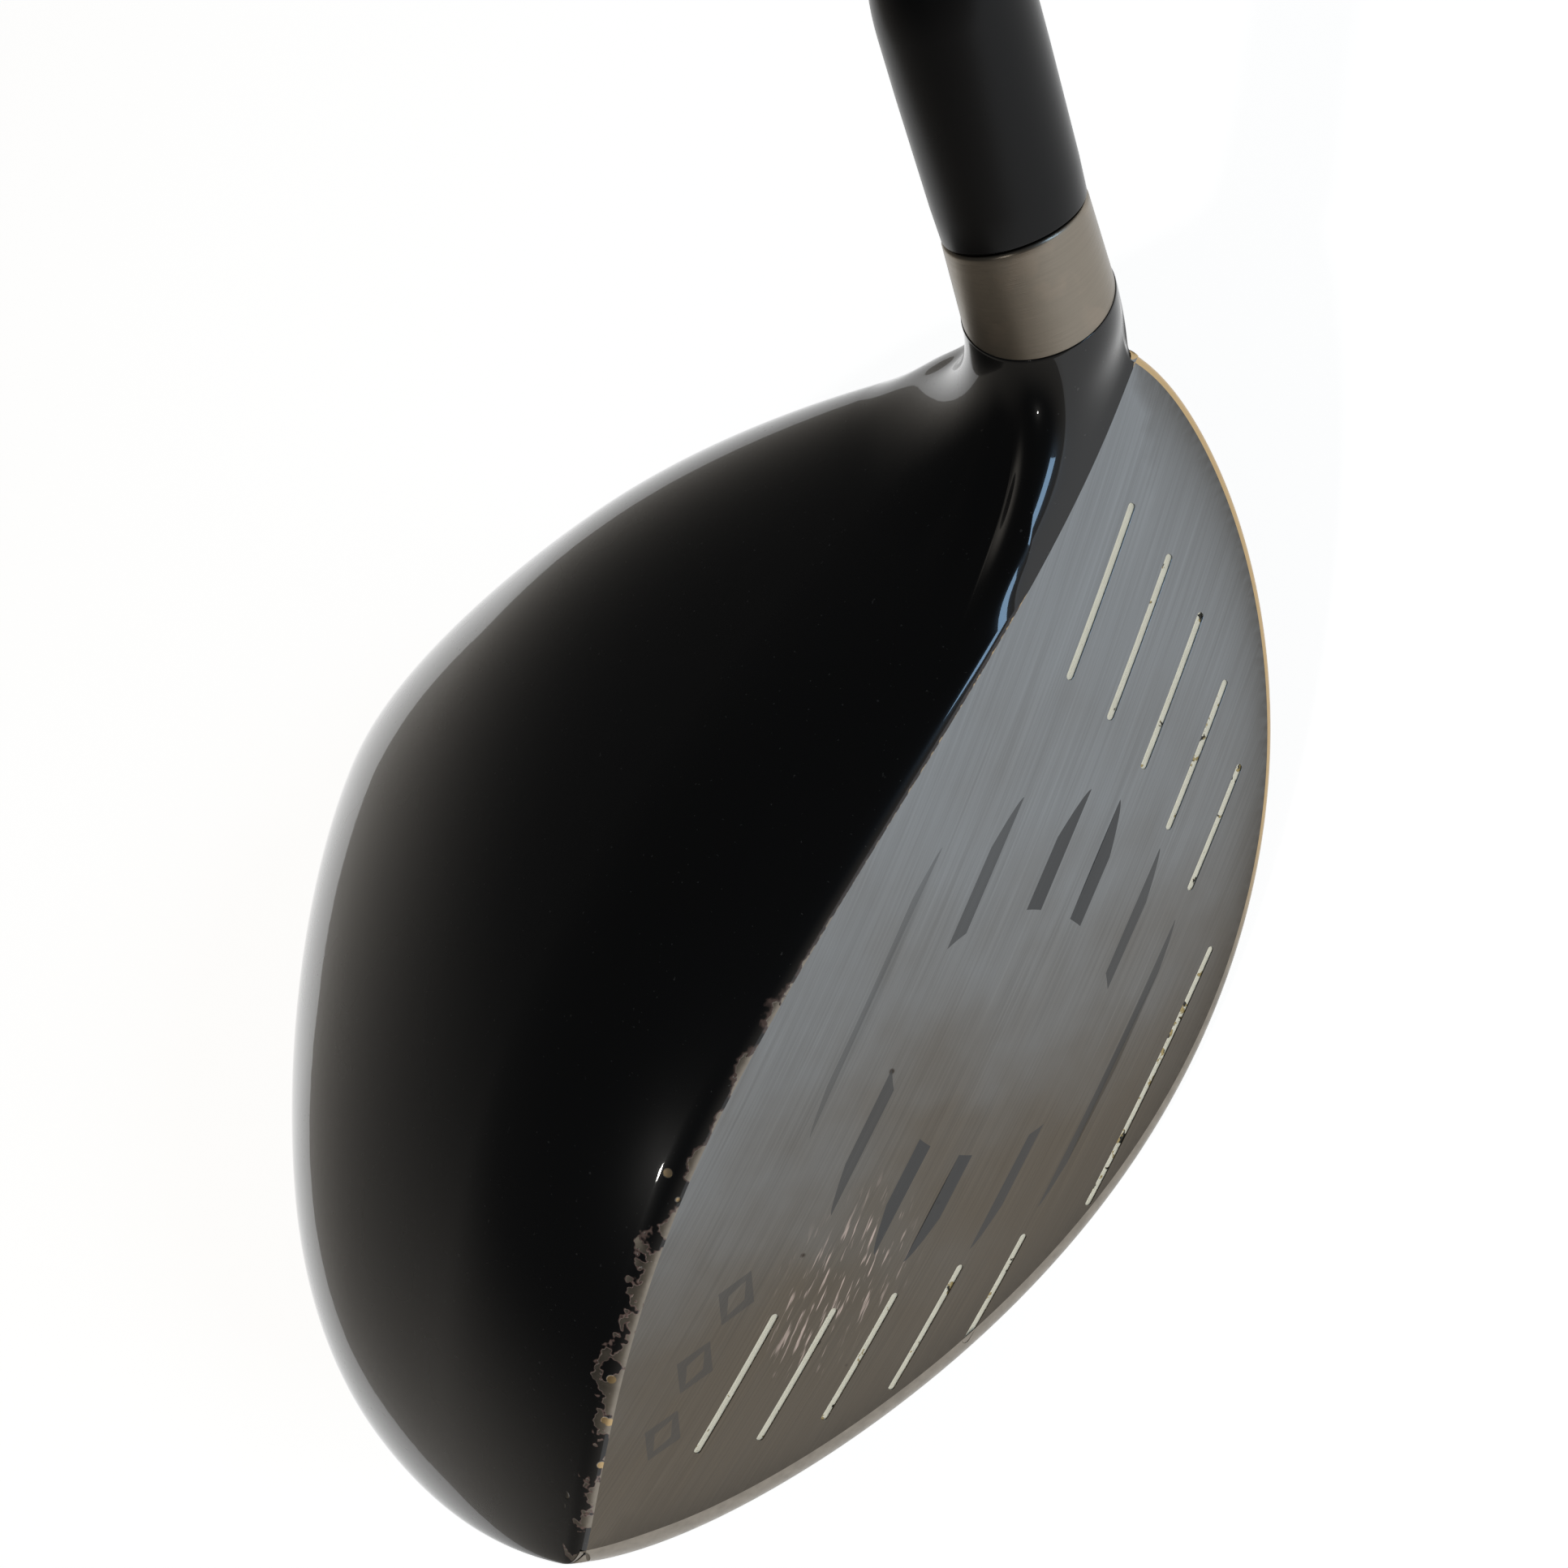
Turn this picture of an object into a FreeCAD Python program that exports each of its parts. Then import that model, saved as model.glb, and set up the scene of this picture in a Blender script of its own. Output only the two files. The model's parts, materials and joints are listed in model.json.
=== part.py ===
"""A right-handed golf driver: hollow titanium head, graphite shaft and rubber grip.

Frame, in millimetres: the origin is the point on the sole that rests on the ground, +Z is up,
the face looks along -Y, the heel and the shaft are towards +X and the toe is towards -X.
"""

import FreeCAD
import Part

import os
from functools import lru_cache
from math import cos, pi, radians, sin, sqrt

from FreeCAD import Vector

# ---- driving dimensions ----------------------------------------------------------------------

CLUB_LENGTH = 1143.0        # 45 in, measured up the shaft's axis from the ground to the cap
LIE = radians(57.0)         # shaft's slope above the ground
LOFT = radians(10.5)        # how far the face leans back

FACE_Y = -30.0              # centre of the face, in front of the rest point
FACE_Z = 28.3               # centre of the face, above the ground
FACE_BULGE = 300.0          # radius of the face, heel to toe and top to bottom
FACE_THICKNESS = 3.0
FACE_INSET = 4.0            # rim of the casting that shows round the face plate

HEAD_DEPTH = 96.6           # centre of the face to the rear of the head
TOE_REACH = 59.0            # centre line to the toe
HEEL_REACH = 68.8           # centre line to the heel
CROWN_TOP = 59.6            # highest point of the crown
CROWN_FRONT = 47.2          # crown where it meets the face
SKIRT_FRONT = 42.2          # widest line of the head, at the face
SKIRT_REAR = 32.0           # the same line, at the rear
LEADING_EDGE_RISE = 2.4     # sole just behind the face, above the ground
WALL = 1.0                  # titanium wall
REST_CUT = 0.3              # depth of the flat that the head rests on
REAR_BLUNT = 0.6            # the rear point is cut off square by this much

HOSEL_TOP = Vector(63.0, FACE_Y + 13.6, 55.2)   # shaft's axis at the top of the hosel
RING_TOP_RADIUS = 5.95
RING_FOOT_RADIUS = 6.4
RING_LENGTH = 8.0           # bare metal above the paint
NECK_RADIUS = 6.6           # painted neck, just under the ring
NECK_FLARE = 10.0           # radius of the neck's hollow curve
NECK_TURN = radians(60.0)   # how far that curve turns
NECK_STRAIGHT = 2.5         # straight piece under the ring, before the hollow curve
NECK_CORE = 6.5             # straight core that carries the neck down into the heel
NECK_CORE_END = -22.0
NECK_SIDE = 7.0             # the neck stands this far heelward of the shaft's axis
NECK_FRONT = 6.9            # the neck stands this far ahead of the shaft's axis
HOSEL_TUBE_RADIUS = 5.8     # inside the head
HOSEL_TUBE_END = -42.5
BORE_RADIUS = 4.45
BORE_DEPTH = 38.0
PLUG_LENGTH = 3.0

TIP_RADIUS = 4.255          # 0.335 in shaft tip
TIP_PARALLEL = 45.0         # straight stretch of the tip above the hosel
BUTT_RADIUS = 7.62          # 0.600 in butt
TIP_BORE_RADIUS = 2.0
BUTT_BORE_RADIUS = 6.4
TIP_PIN_LENGTH = 20.0

FERRULE_STRAIGHT = 18.5
FERRULE_LENGTH = 25.0
FERRULE_EDGE = 0.1          # bevel at its foot
FERRULE_TAPER = 0.15        # radius lost over the straight skirt
FERRULE_LIP = 0.35          # its wall at the top
FERRULE_BEND = 0.55         # bulge of its shoulder

GRIP_LENGTH = 268.0
GRIP_MOUTH_WALL = 1.2
GRIP_CAP_RADIUS = 13.4
GRIP_CAP_THICKNESS = 5.0
VENT_RADIUS = 1.25
TAPE_THICKNESS = 0.25
TAPE_SETBACK = 2.0          # the tape starts this far inside the grip's mouth
GRIP_LIP_LENGTH = 1.5
GRIP_LIP_RISE = 0.3
GRIP_STEPS = 8              # straight stretches that follow the grip's curve
GRIP_EVEN_SHARE = 0.62      # share of the grip's taper that is even; the rest is near the butt
GRIP_BUTT_POWER = 4
CAP_SHOULDER = 2.5          # radius lost round the cap's edge
CAP_BEND = 0.9

BAND_START = 560.0          # blank band on the shaft, above the hosel's top
BAND_END = 680.0
BAND_FILM = 0.08

SCORE_WIDTH = 0.6
SCORE_DEPTH = 0.4
SCORE_PAINT_BELOW = 0.12    # the paint sits this far under the face
SCORE_PITCH = 5.8
SCORE_TOP = 9.1             # height of the top score line above the face's centre
SCORE_BOTTOM = -20.3        # height of the long bottom line
SCORE_CENTRE = 1.6          # middle of the pattern, towards the heel
SCORE_OUTER = (45.7, 43.5, 40.4, 36.2, 30.0)    # outer ends, from the top line down
SCORE_INNER = (30.8, 29.2, 26.6, 22.6, 18.3)    # inner ends
SCORE_BOTTOM_HALF = 13.5

SLOT_BAR_DEPTH = 12.0       # the bars that cut the score lines start this far behind the face
SLOT_BAR_PROUD = 2.0        # and end this far ahead of it

QUARTER_POINTS = 9          # points on each quarter of a head section
SECTIONS = 13               # head sections, front to rear

SHAFT_AXIS = Vector(cos(LIE), 0.0, sin(LIE))
FACE_CENTRE = Vector(0.0, FACE_Y, FACE_Z)
FACE_NORMAL = Vector(0.0, -cos(LOFT), sin(LOFT))
FACE_UP = Vector(0.0, sin(LOFT), cos(LOFT))
BULGE_CENTRE = FACE_CENTRE - FACE_NORMAL * FACE_BULGE
CAP_START = CLUB_LENGTH - HOSEL_TOP.z / sin(LIE) - GRIP_CAP_THICKNESS


# ---- small tools -----------------------------------------------------------------------------

def smooth(t):
    """Ease from 0 to 1 with flat ends."""
    t = min(max(t, 0.0), 1.0)
    return t * t * (3.0 - 2.0 * t)


def save(name, shape):
    """Write one sub-part, after checking that it is a closed, valid solid or a group of them."""
    if not shape.isValid() or shape.Volume <= 0.0 or not shape.Solids:
        raise ValueError(name + " is not a valid solid")
    solids = shape.Solids
    shape = solids[0] if len(solids) == 1 else Part.makeCompound(solids)
    shape.exportStep("parts/" + name + ".step")
    print("%-20s %2d solid(s) %10.1f mm3" % (name, len(solids), shape.Volume))


def on_axis(s):
    """Point on the shaft's axis, s above the top of the hosel."""
    return HOSEL_TOP + SHAFT_AXIS * s


def on_shaft(solid):
    """Carries a shape from upright axes to the shaft's: Z up the shaft, X towards the heel."""
    lean = FreeCAD.Rotation(Vector(0, 1, 0), 90.0 - LIE * 180.0 / pi)
    solid.Placement = FreeCAD.Placement(HOSEL_TOP, lean)
    return solid


def turned(profile):
    """Solid turned about the shaft's axis from (distance along it, radius) pairs or triples.

    A pair joins on with a straight line. A triple (s, r, bend) joins on with an arc whose
    middle stands off the chord by bend, away from the axis when the line runs up the shaft.
    """
    points = [Vector(row[1], 0.0, row[0]) for row in profile]
    edges = []
    for index, row in enumerate(profile):
        start, end = points[index - 1], points[index]
        bend = row[2] if len(row) == 3 else 0.0
        if bend:
            chord = end - start
            side = Vector(chord.z, 0.0, -chord.x).normalize()
            edges.append(Part.Arc(start, (start + end) * 0.5 + side * bend, end).toShape())
        else:
            edges.append(Part.LineSegment(start, end).toShape())
    face = Part.Face(Part.Wire(edges))
    solid = face.revolve(Vector(0, 0, 0), Vector(0, 0, 1), 360.0)
    return on_shaft(solid)


def rod(radius, low, high):
    """Plain cylinder on the shaft's axis from low to high."""
    return Part.makeCylinder(radius, high - low, on_axis(low), SHAFT_AXIS)


def ball(inset):
    """Ball whose surface is the face, moved in by inset."""
    return Part.makeSphere(FACE_BULGE - inset, BULGE_CENTRE)


def upright_oval(x, y, half_x, half_y):
    """Upright oval post that passes right through the head."""
    oval = Part.Ellipse(Vector(x, y, -10.0), max(half_x, half_y), min(half_x, half_y))
    if half_y > half_x:
        oval.rotate(FreeCAD.Placement(Vector(x, y, -10.0), FreeCAD.Rotation(Vector(0, 0, 1), 90)))
    return Part.Face(Part.Wire(oval.toShape())).extrude(Vector(0, 0, 90.0))


# ---- outer form of the head ------------------------------------------------------------------

WIDEST_TOE = 41.0           # where the toe side is widest, behind the face
WIDEST_HEEL = 2.0
TOE_TAPER = 0.75            # power of each side's taper to the rear point
HEEL_TAPER = 0.82
TOE_FRONT_LOSS = 0.28       # share of its width that the toe side has lost at the face
CROWN_PEAK = 25.5
SOLE_LOW = 30.0             # where the sole is lowest, behind the face
CENTRE_LINE_X = -10.0       # middle of the sections at the face
REAR_X = -8.0               # rear point of the head
SOLE_LINE_SHIFT = 15.0      # middle of the sole at the face, towards the heel
SOLE_LINE_LENGTH = 75.0     # how far back that shift fades away
SHOULDER_LENGTH = 62.0      # how far back the flat shoulders of the crown fade away
CROWN_FRONT_SHARE = 0.05    # round share of a section at the face; the rest is a steeper curve
SOLE_FRONT_SHARE = 0.75
HEEL_POWER = 4.3            # power of that steeper curve, in each part of a section
TOE_POWER = 2.5
SOLE_POWER = 2.0
CROWN_DIP_POWER = 2.2       # how the crown's ridge falls to the face
SOLE_FLATNESS = 0.2         # how much flatter than round the sole's sections become
FORM_FRONT = -7.0           # the form starts ahead of the face, which then cuts it


def taper_back(y, widest, power, front_loss):
    """Share of the full half width at y behind the face: rounded rear, slightly narrower front."""
    back = min(max((y - widest) / (HEAD_DEPTH - widest), 0.0), 1.0)
    front = max((widest - y) / widest, 0.0)
    return (1.0 - back * back) ** power * (1.0 - front_loss * front * front)


def crown_height(y):
    """Height of the crown's ridge, y behind the face."""
    back = min(max((y - CROWN_PEAK) / (HEAD_DEPTH - CROWN_PEAK), 0.0), 1.0)
    front = max((CROWN_PEAK - y) / CROWN_PEAK, 0.0)
    skirt = skirt_height(y)
    return skirt + (CROWN_TOP - skirt) * sqrt(1.0 - back * back) \
        - (CROWN_TOP - CROWN_FRONT) * front ** CROWN_DIP_POWER


def skirt_height(y):
    """Height of the head's widest line, y behind the face."""
    return SKIRT_FRONT + (SKIRT_REAR - SKIRT_FRONT) * min(max(y / HEAD_DEPTH, 0.0), 1.0)


def sole_height(y):
    """Height of the sole's keel, y behind the face; it dips under the ground by the rest cut."""
    back = min(max((y - SOLE_LOW) / (HEAD_DEPTH - SOLE_LOW), 0.0), 1.0)
    front = max((SOLE_LOW - y) / SOLE_LOW, 0.0)
    return skirt_height(y) * (1.0 - sqrt(1.0 - back * back)) \
        + LEADING_EDGE_RISE * front * front - REST_CUT


def section_points(y, inset):
    """Points round the head y behind the face, moved in by inset, from the crown to the heel."""
    share = min(max(y / HEAD_DEPTH, 0.0), 1.0)
    middle = CENTRE_LINE_X + (REAR_X - CENTRE_LINE_X) * share * share
    toe = middle - TOE_REACH * taper_back(y, WIDEST_TOE, TOE_TAPER, TOE_FRONT_LOSS) + inset
    heel = middle + HEEL_REACH * taper_back(y, WIDEST_HEEL, HEEL_TAPER, 0.0) - inset
    keel = middle + SOLE_LINE_SHIFT * (1.0 - smooth(y / SOLE_LINE_LENGTH))
    skirt = skirt_height(y)
    crown = crown_height(y) - inset - skirt
    sole = sole_height(y) + inset - skirt
    behind = smooth(y / SHOULDER_LENGTH)
    crown_share = CROWN_FRONT_SHARE + (1.0 - CROWN_FRONT_SHARE) * behind
    sole_share = SOLE_FRONT_SHARE + (1.0 - SOLE_FRONT_SHARE) * behind
    sole_curl = 1.0 - SOLE_FLATNESS * behind
    quarters = (
        (middle, heel, crown, crown_share, HEEL_POWER, 1.0, False),
        (keel, heel, sole, sole_share, SOLE_POWER, sole_curl, True),
        (keel, toe, sole, sole_share, SOLE_POWER, sole_curl, False),
        (middle, toe, crown, crown_share, TOE_POWER, 1.0, True),
    )
    points = []
    for centre, side, height, round_share, power, curl, backwards in quarters:
        for step in range(QUARTER_POINTS):
            turn = 0.5 * pi * (QUARTER_POINTS - step if backwards else step) / QUARTER_POINTS
            across, up = sin(turn) ** curl, max(cos(turn), 0.0)
            rise = round_share * up ** curl + (1.0 - round_share) * up ** power
            points.append(Vector(centre + (side - centre) * across, y, skirt + height * rise))
    return points


@lru_cache(maxsize=None)
def head_form(inset):
    """Solid head form, moved in by inset, from ahead of the face to the rear point."""
    front, rear = FORM_FRONT, HEAD_DEPTH - REAR_BLUNT - inset
    count = 4 * QUARTER_POINTS
    knots = [index / count for index in range(count + 1)]
    wires = []
    for index in range(SECTIONS):
        y = front + (rear - front) * sin(0.5 * pi * index / (SECTIONS - 1))
        full_y = y if y < 0.0 else y * (HEAD_DEPTH - REAR_BLUNT) / rear
        curve = Part.BSplineCurve()
        points = [Vector(p.x, FACE_Y + y, p.z) for p in section_points(full_y, inset)]
        curve.interpolate(Points=points, PeriodicFlag=True, Parameters=knots)
        wires.append(Part.Wire(curve.toShape()))
    return Part.makeLoft(wires, True, False)


# ---- pieces of the head ----------------------------------------------------------------------

CROWN_JOINT_INSET = 6.5     # the crown plate's edge, in from the skirt
CROWN_JOINT_FRONT = 11.0    # and back from the face
NECK_CLEARANCE = 19.0       # the crown plate keeps this far from the shaft's axis
LEDGE_WIDTH = 3.0           # lip of the casting under the crown plate
LEDGE_THICKNESS = 0.8
LEDGE_OVERLAP = 1.0         # it starts this far outside the joint
MID_HEIGHT = 20.0           # upright posts that work on the crown start here
BADGE = (-3.0, 30.0, 17.0, 10.0)    # x, y and half sizes of the blank sole badge
BADGE_THICKNESS = 0.6
BADGE_GLUE = 0.15
BADGE_SEAT_WALL = 1.0       # extra wall inside, behind the badge
BADGE_SEAT_RIM = 2.0        # that wall reaches this far round the badge
BADGE_PLAY = 0.1            # gap round the badge in its seat
PAD_LIFT = 0.02             # cast pads stand this far off the wall

# weight pads: size of the box that bounds each, its lowest corner, and the pad's thickness
WEIGHT_PADS = {
    "toe_weight_pad": ((14.0, 34.0, 16.0), (-70.0, -18.0, 8.0), 4.0),
    "heel_weight_pad": ((20.0, 24.0, 14.0), (36.0, -6.0, 8.0), 3.5),
    "rear_weight_pad": ((40.0, 12.0, 16.0), (REAR_X - 20.0, 50.0, 14.0), 4.5),
}
RIB_PLACES = (-8.0, 3.0, 14.0)      # y of each rib
RIB_SIZE = (56.0, 1.0, 16.0)        # box that bounds a rib
RIB_START = -34.0
RIB_HEIGHT = 5.0
GLUE_DAB = (-30.0, -19.0, 8.0, 5.0)     # x, y and half sizes
GLUE_DAB_THICKNESS = 2.5
GLUE_DAB_TOP = 30.0                 # the dab stays under this height
CROWN_EDGE_POINTS = 9


@lru_cache(maxsize=None)
def hollow(wall):
    """Inside of the head for a wall of the given thickness, closed in front by the face."""
    return head_form(wall).common(ball(FACE_THICKNESS))


def largest(shape):
    """Biggest solid of a shape."""
    return max(shape.Solids, key=lambda solid: solid.Volume)


def slab(low, high):
    """Flat block, wider than the head, between two heights."""
    wide = 4.0 * HEAD_DEPTH
    return Part.makeBox(wide, wide, high - low, Vector(-0.5 * wide, -0.5 * wide, low))


def crown_post(extra):
    """Upright post whose outline is the crown's joint, moved in by extra, round the neck."""
    inset = CROWN_JOINT_INSET + extra
    front = CROWN_JOINT_FRONT + extra
    rear = HEAD_DEPTH - inset
    toe_side, heel_side = [], []
    for index in range(CROWN_EDGE_POINTS):
        y = front + (rear - front) * sin(0.5 * pi * index / CROWN_EDGE_POINTS)
        across = [p.x for p in section_points(y, inset)]
        toe_side.append(Vector(min(across), FACE_Y + y, MID_HEIGHT))
        heel_side.append(Vector(max(across), FACE_Y + y, MID_HEIGHT))
    rear_point = Vector(REAR_X, FACE_Y + rear, MID_HEIGHT)
    edge = Part.BSplineCurve()
    edge.interpolate(Points=toe_side + [rear_point] + heel_side[::-1])
    front_edge = Part.LineSegment(heel_side[0], toe_side[0])
    outline = Part.Wire([edge.toShape(), front_edge.toShape()])
    post = Part.Face(outline).extrude(Vector(0, 0, CROWN_TOP))
    return post.cut(rod(NECK_CLEARANCE + extra, HOSEL_TUBE_END - MID_HEIGHT, RING_LENGTH))


def hosel_block():
    """Hosel without its bore: bare ring, painted neck with its hollow flare, tube inside."""
    ring_foot = -RING_LENGTH
    flare_start = ring_foot - NECK_STRAIGHT
    neck_end = flare_start - NECK_FLARE * sin(NECK_TURN)
    neck_out = NECK_RADIUS + NECK_FLARE * (1.0 - cos(NECK_TURN))
    bend = NECK_FLARE * (1.0 - cos(0.5 * NECK_TURN))
    chamfer, buried, step = 0.25, 4.0, 0.05
    profile = (
        (0.0, 0.0), (0.0, RING_TOP_RADIUS - chamfer), (-chamfer, RING_TOP_RADIUS),
        (ring_foot, RING_FOOT_RADIUS), (ring_foot - step, NECK_RADIUS), (flare_start, NECK_RADIUS),
        (neck_end, neck_out, bend), (neck_end - buried, neck_out), (neck_end - buried, 0.0),
    )
    room = 2.0 * HEAD_DEPTH
    ahead = Part.makeBox(room, room, room, Vector(-0.5 * room, HOSEL_TOP.y - NECK_FRONT - room, -0.5 * room))
    beside = on_shaft(Part.makeBox(room, room, room, Vector(NECK_SIDE, -0.5 * room, -0.5 * room)))
    neck = turned(profile).cut(ahead).cut(beside).fuse(rod(NECK_CORE, NECK_CORE_END, ring_foot))
    neck = largest(neck.cut(hollow(WALL)))
    return neck.fuse(rod(HOSEL_TUBE_RADIUS, HOSEL_TUBE_END, ring_foot)).removeSplitter()


def make_hosel(block):
    """Hosel with its blind bore, deep enough for the shaft's tip and the plug under it."""
    return block.cut(rod(BORE_RADIUS, -BORE_DEPTH - PLUG_LENGTH, 1.0))


def make_shell():
    """Whole thin-walled head with its flat on the sole, before it is divided."""
    solid = head_form(0.0).common(ball(0.0))
    room = 2.0 * CLUB_LENGTH
    below = Part.makeBox(room, room, room, Vector(-0.5 * room, -0.5 * room, -room))
    return solid.cut(below).cut(hollow(WALL))


def make_casting(shell, crown, face_plate, block):
    """Body casting: sole, skirt and face rim, the crown's ledge and the badge's seat."""
    casting = shell.cut(crown).cut(face_plate)
    ring = crown_post(-LEDGE_OVERLAP).cut(crown_post(LEDGE_WIDTH))
    ledge = hollow(WALL).cut(hollow(WALL + LEDGE_THICKNESS)).common(ring)
    casting = casting.fuse(ledge.common(slab(SKIRT_REAR, 2.0 * CROWN_TOP)))
    x, y, half_x, half_y = BADGE
    seat = upright_oval(x, y, half_x + BADGE_SEAT_RIM, half_y + BADGE_SEAT_RIM)
    wall_inside = hollow(WALL).cut(hollow(WALL + BADGE_SEAT_WALL))
    casting = casting.fuse(wall_inside.common(seat).common(slab(-MID_HEIGHT, MID_HEIGHT)))
    casting = casting.cut(badge_seat(BADGE_THICKNESS + BADGE_GLUE))
    return largest(casting.cut(block))


def badge_oval(play):
    """Upright oval through the sole at the badge, larger than it by the play."""
    x, y, half_x, half_y = BADGE
    return upright_oval(x, y, half_x + play, half_y + play).common(slab(-MID_HEIGHT, MID_HEIGHT))


def badge_seat(depth):
    """What is cut from the sole for the badge, down to a depth under the sole's surface."""
    return badge_oval(BADGE_PLAY).cut(head_form(depth))


def badge_layer(high, low):
    """Layer of the badge's oval between two depths under the sole's surface."""
    return badge_oval(0.0).common(head_form(high)).cut(head_form(low))


def inner_pad(thickness, region):
    """Solid that lies on the inside of the head's wall within a region."""
    return hollow(WALL + PAD_LIFT).cut(hollow(WALL + thickness)).common(region)


def make_pads():
    """Cast weight pads low in the toe, in the heel and at the rear."""
    return {
        name: largest(inner_pad(thickness, Part.makeBox(*size, Vector(*corner))))
        for name, (size, corner, thickness) in WEIGHT_PADS.items()
    }


def make_ribs():
    """Three thin upright ribs across the inside of the sole, which tune its sound."""
    plates = [Part.makeBox(*RIB_SIZE, Vector(RIB_START, y, 0)) for y in RIB_PLACES]
    return Part.makeCompound([largest(inner_pad(RIB_HEIGHT, plate)) for plate in plates])


def make_glue_dab():
    """Hot-melt dab behind the toe side of the face, which catches loose crumbs."""
    region = upright_oval(*GLUE_DAB).common(slab(0.0, GLUE_DAB_TOP))
    return largest(inner_pad(GLUE_DAB_THICKNESS, region))


# ---- face ------------------------------------------------------------------------------------

def face_point(across, up, out=0.0):
    """Point across and up the face from its centre, out along its normal."""
    return FACE_CENTRE + Vector(across, 0, 0) + FACE_UP * up + FACE_NORMAL * out


def score_slot(start, end, up, width):
    """Round-ended bar that passes through the face from start to end at one height."""
    half, deep, length = 0.5 * width, -SLOT_BAR_DEPTH, SLOT_BAR_DEPTH + SLOT_BAR_PROUD
    rise = FACE_UP * half
    left, right = face_point(start, up, deep), face_point(end, up, deep)
    heelward = Vector(half, 0, 0)
    edges = [
        Part.LineSegment(left - rise, right - rise),
        Part.Arc(right - rise, right + heelward, right + rise),
        Part.LineSegment(right + rise, left + rise),
        Part.Arc(left + rise, left - heelward, left - rise),
    ]
    wire = Part.Wire([edge.toShape() for edge in edges])
    return Part.Face(wire).extrude(FACE_NORMAL * length)


def score_slots():
    """Five short score lines on each side of the sweet spot and one long one under it."""
    slots = []
    for row, (outer, inner) in enumerate(zip(SCORE_OUTER, SCORE_INNER)):
        up = SCORE_TOP - row * SCORE_PITCH
        slots.append(score_slot(SCORE_CENTRE + inner, SCORE_CENTRE + outer, up, SCORE_WIDTH))
        slots.append(score_slot(SCORE_CENTRE - outer, SCORE_CENTRE - inner, up, SCORE_WIDTH))
    ends = SCORE_CENTRE - SCORE_BOTTOM_HALF, SCORE_CENTRE + SCORE_BOTTOM_HALF
    slots.append(score_slot(*ends, SCORE_BOTTOM, SCORE_WIDTH))
    return slots


def make_face_plate(shell):
    """Face plate, set into the casting's rim, with its score lines cut."""
    plate = shell.cut(ball(FACE_THICKNESS)).common(head_form(FACE_INSET))
    floor = ball(SCORE_DEPTH)
    for slot in score_slots():
        plate = plate.cut(slot.cut(floor))
    return largest(plate)


def make_score_paint():
    """Paint in the score lines, lying on their floors."""
    layer = ball(SCORE_PAINT_BELOW)
    floor = ball(SCORE_DEPTH)
    return Part.makeCompound([slot.common(layer).cut(floor) for slot in score_slots()])


# ---- shaft, ferrule and grip -----------------------------------------------------------------

def shaft_radius(s):
    """Outer radius of the shaft, s above the top of the hosel."""
    share = (s - TIP_PARALLEL) / (CAP_START - TIP_PARALLEL)
    return TIP_RADIUS + (BUTT_RADIUS - TIP_RADIUS) * min(max(share, 0.0), 1.0)


def make_shaft():
    """Tapered graphite tube, parallel in the hosel and just above it."""
    return turned((
        (-BORE_DEPTH, TIP_BORE_RADIUS), (-BORE_DEPTH, TIP_RADIUS), (TIP_PARALLEL, TIP_RADIUS),
        (CAP_START, BUTT_RADIUS), (CAP_START, BUTT_BORE_RADIUS), (TIP_PARALLEL, TIP_BORE_RADIUS),
    ))


def make_ferrule():
    """Black collar on the hosel: a straight skirt, then a rounded shoulder down to the shaft."""
    return turned((
        (0.0, TIP_RADIUS), (0.0, RING_TOP_RADIUS - FERRULE_EDGE), (FERRULE_EDGE, RING_TOP_RADIUS),
        (FERRULE_STRAIGHT, RING_TOP_RADIUS - FERRULE_TAPER),
        (FERRULE_LENGTH, TIP_RADIUS + FERRULE_LIP, FERRULE_BEND), (FERRULE_LENGTH, TIP_RADIUS),
    ))


def grip_radius(s):
    """Outer radius of the grip, s above the top of the hosel: a long taper, fuller at the butt."""
    share = (s - (CAP_START - GRIP_LENGTH)) / GRIP_LENGTH
    mouth = shaft_radius(CAP_START - GRIP_LENGTH) + TAPE_THICKNESS + GRIP_MOUTH_WALL
    rise = GRIP_EVEN_SHARE * share + (1.0 - GRIP_EVEN_SHARE) * share ** GRIP_BUTT_POWER
    return mouth + (GRIP_CAP_RADIUS - mouth) * rise


def make_grip():
    """Rubber grip: tapered sleeve with a small lip round its mouth."""
    mouth = CAP_START - GRIP_LENGTH
    lip_radius, lip_end = grip_radius(mouth) + GRIP_LIP_RISE, mouth + GRIP_LIP_LENGTH
    outline = [(mouth, lip_radius), (lip_end, lip_radius)]
    for index in range(1, GRIP_STEPS + 1):
        s = lip_end + (CAP_START - lip_end) * index / GRIP_STEPS
        outline.append((s, grip_radius(s)))
    bore = [(CAP_START, BUTT_RADIUS + TAPE_THICKNESS),
            (mouth, shaft_radius(mouth) + TAPE_THICKNESS)]
    return turned(outline + bore)


def make_grip_tape():
    """Double-sided tape wound on the shaft under the grip."""
    start = CAP_START - GRIP_LENGTH + TAPE_SETBACK
    return turned((
        (start, shaft_radius(start)), (start, shaft_radius(start) + TAPE_THICKNESS),
        (CAP_START, BUTT_RADIUS + TAPE_THICKNESS), (CAP_START, BUTT_RADIUS),
    ))


def make_grip_cap():
    """Domed end cap of the grip with its vent hole."""
    end = CAP_START + GRIP_CAP_THICKNESS
    return turned((
        (CAP_START, VENT_RADIUS), (CAP_START, GRIP_CAP_RADIUS),
        (CAP_START + CAP_SHOULDER, GRIP_CAP_RADIUS),
        (end, GRIP_CAP_RADIUS - CAP_SHOULDER, CAP_BEND), (end, VENT_RADIUS),
    ))


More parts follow.
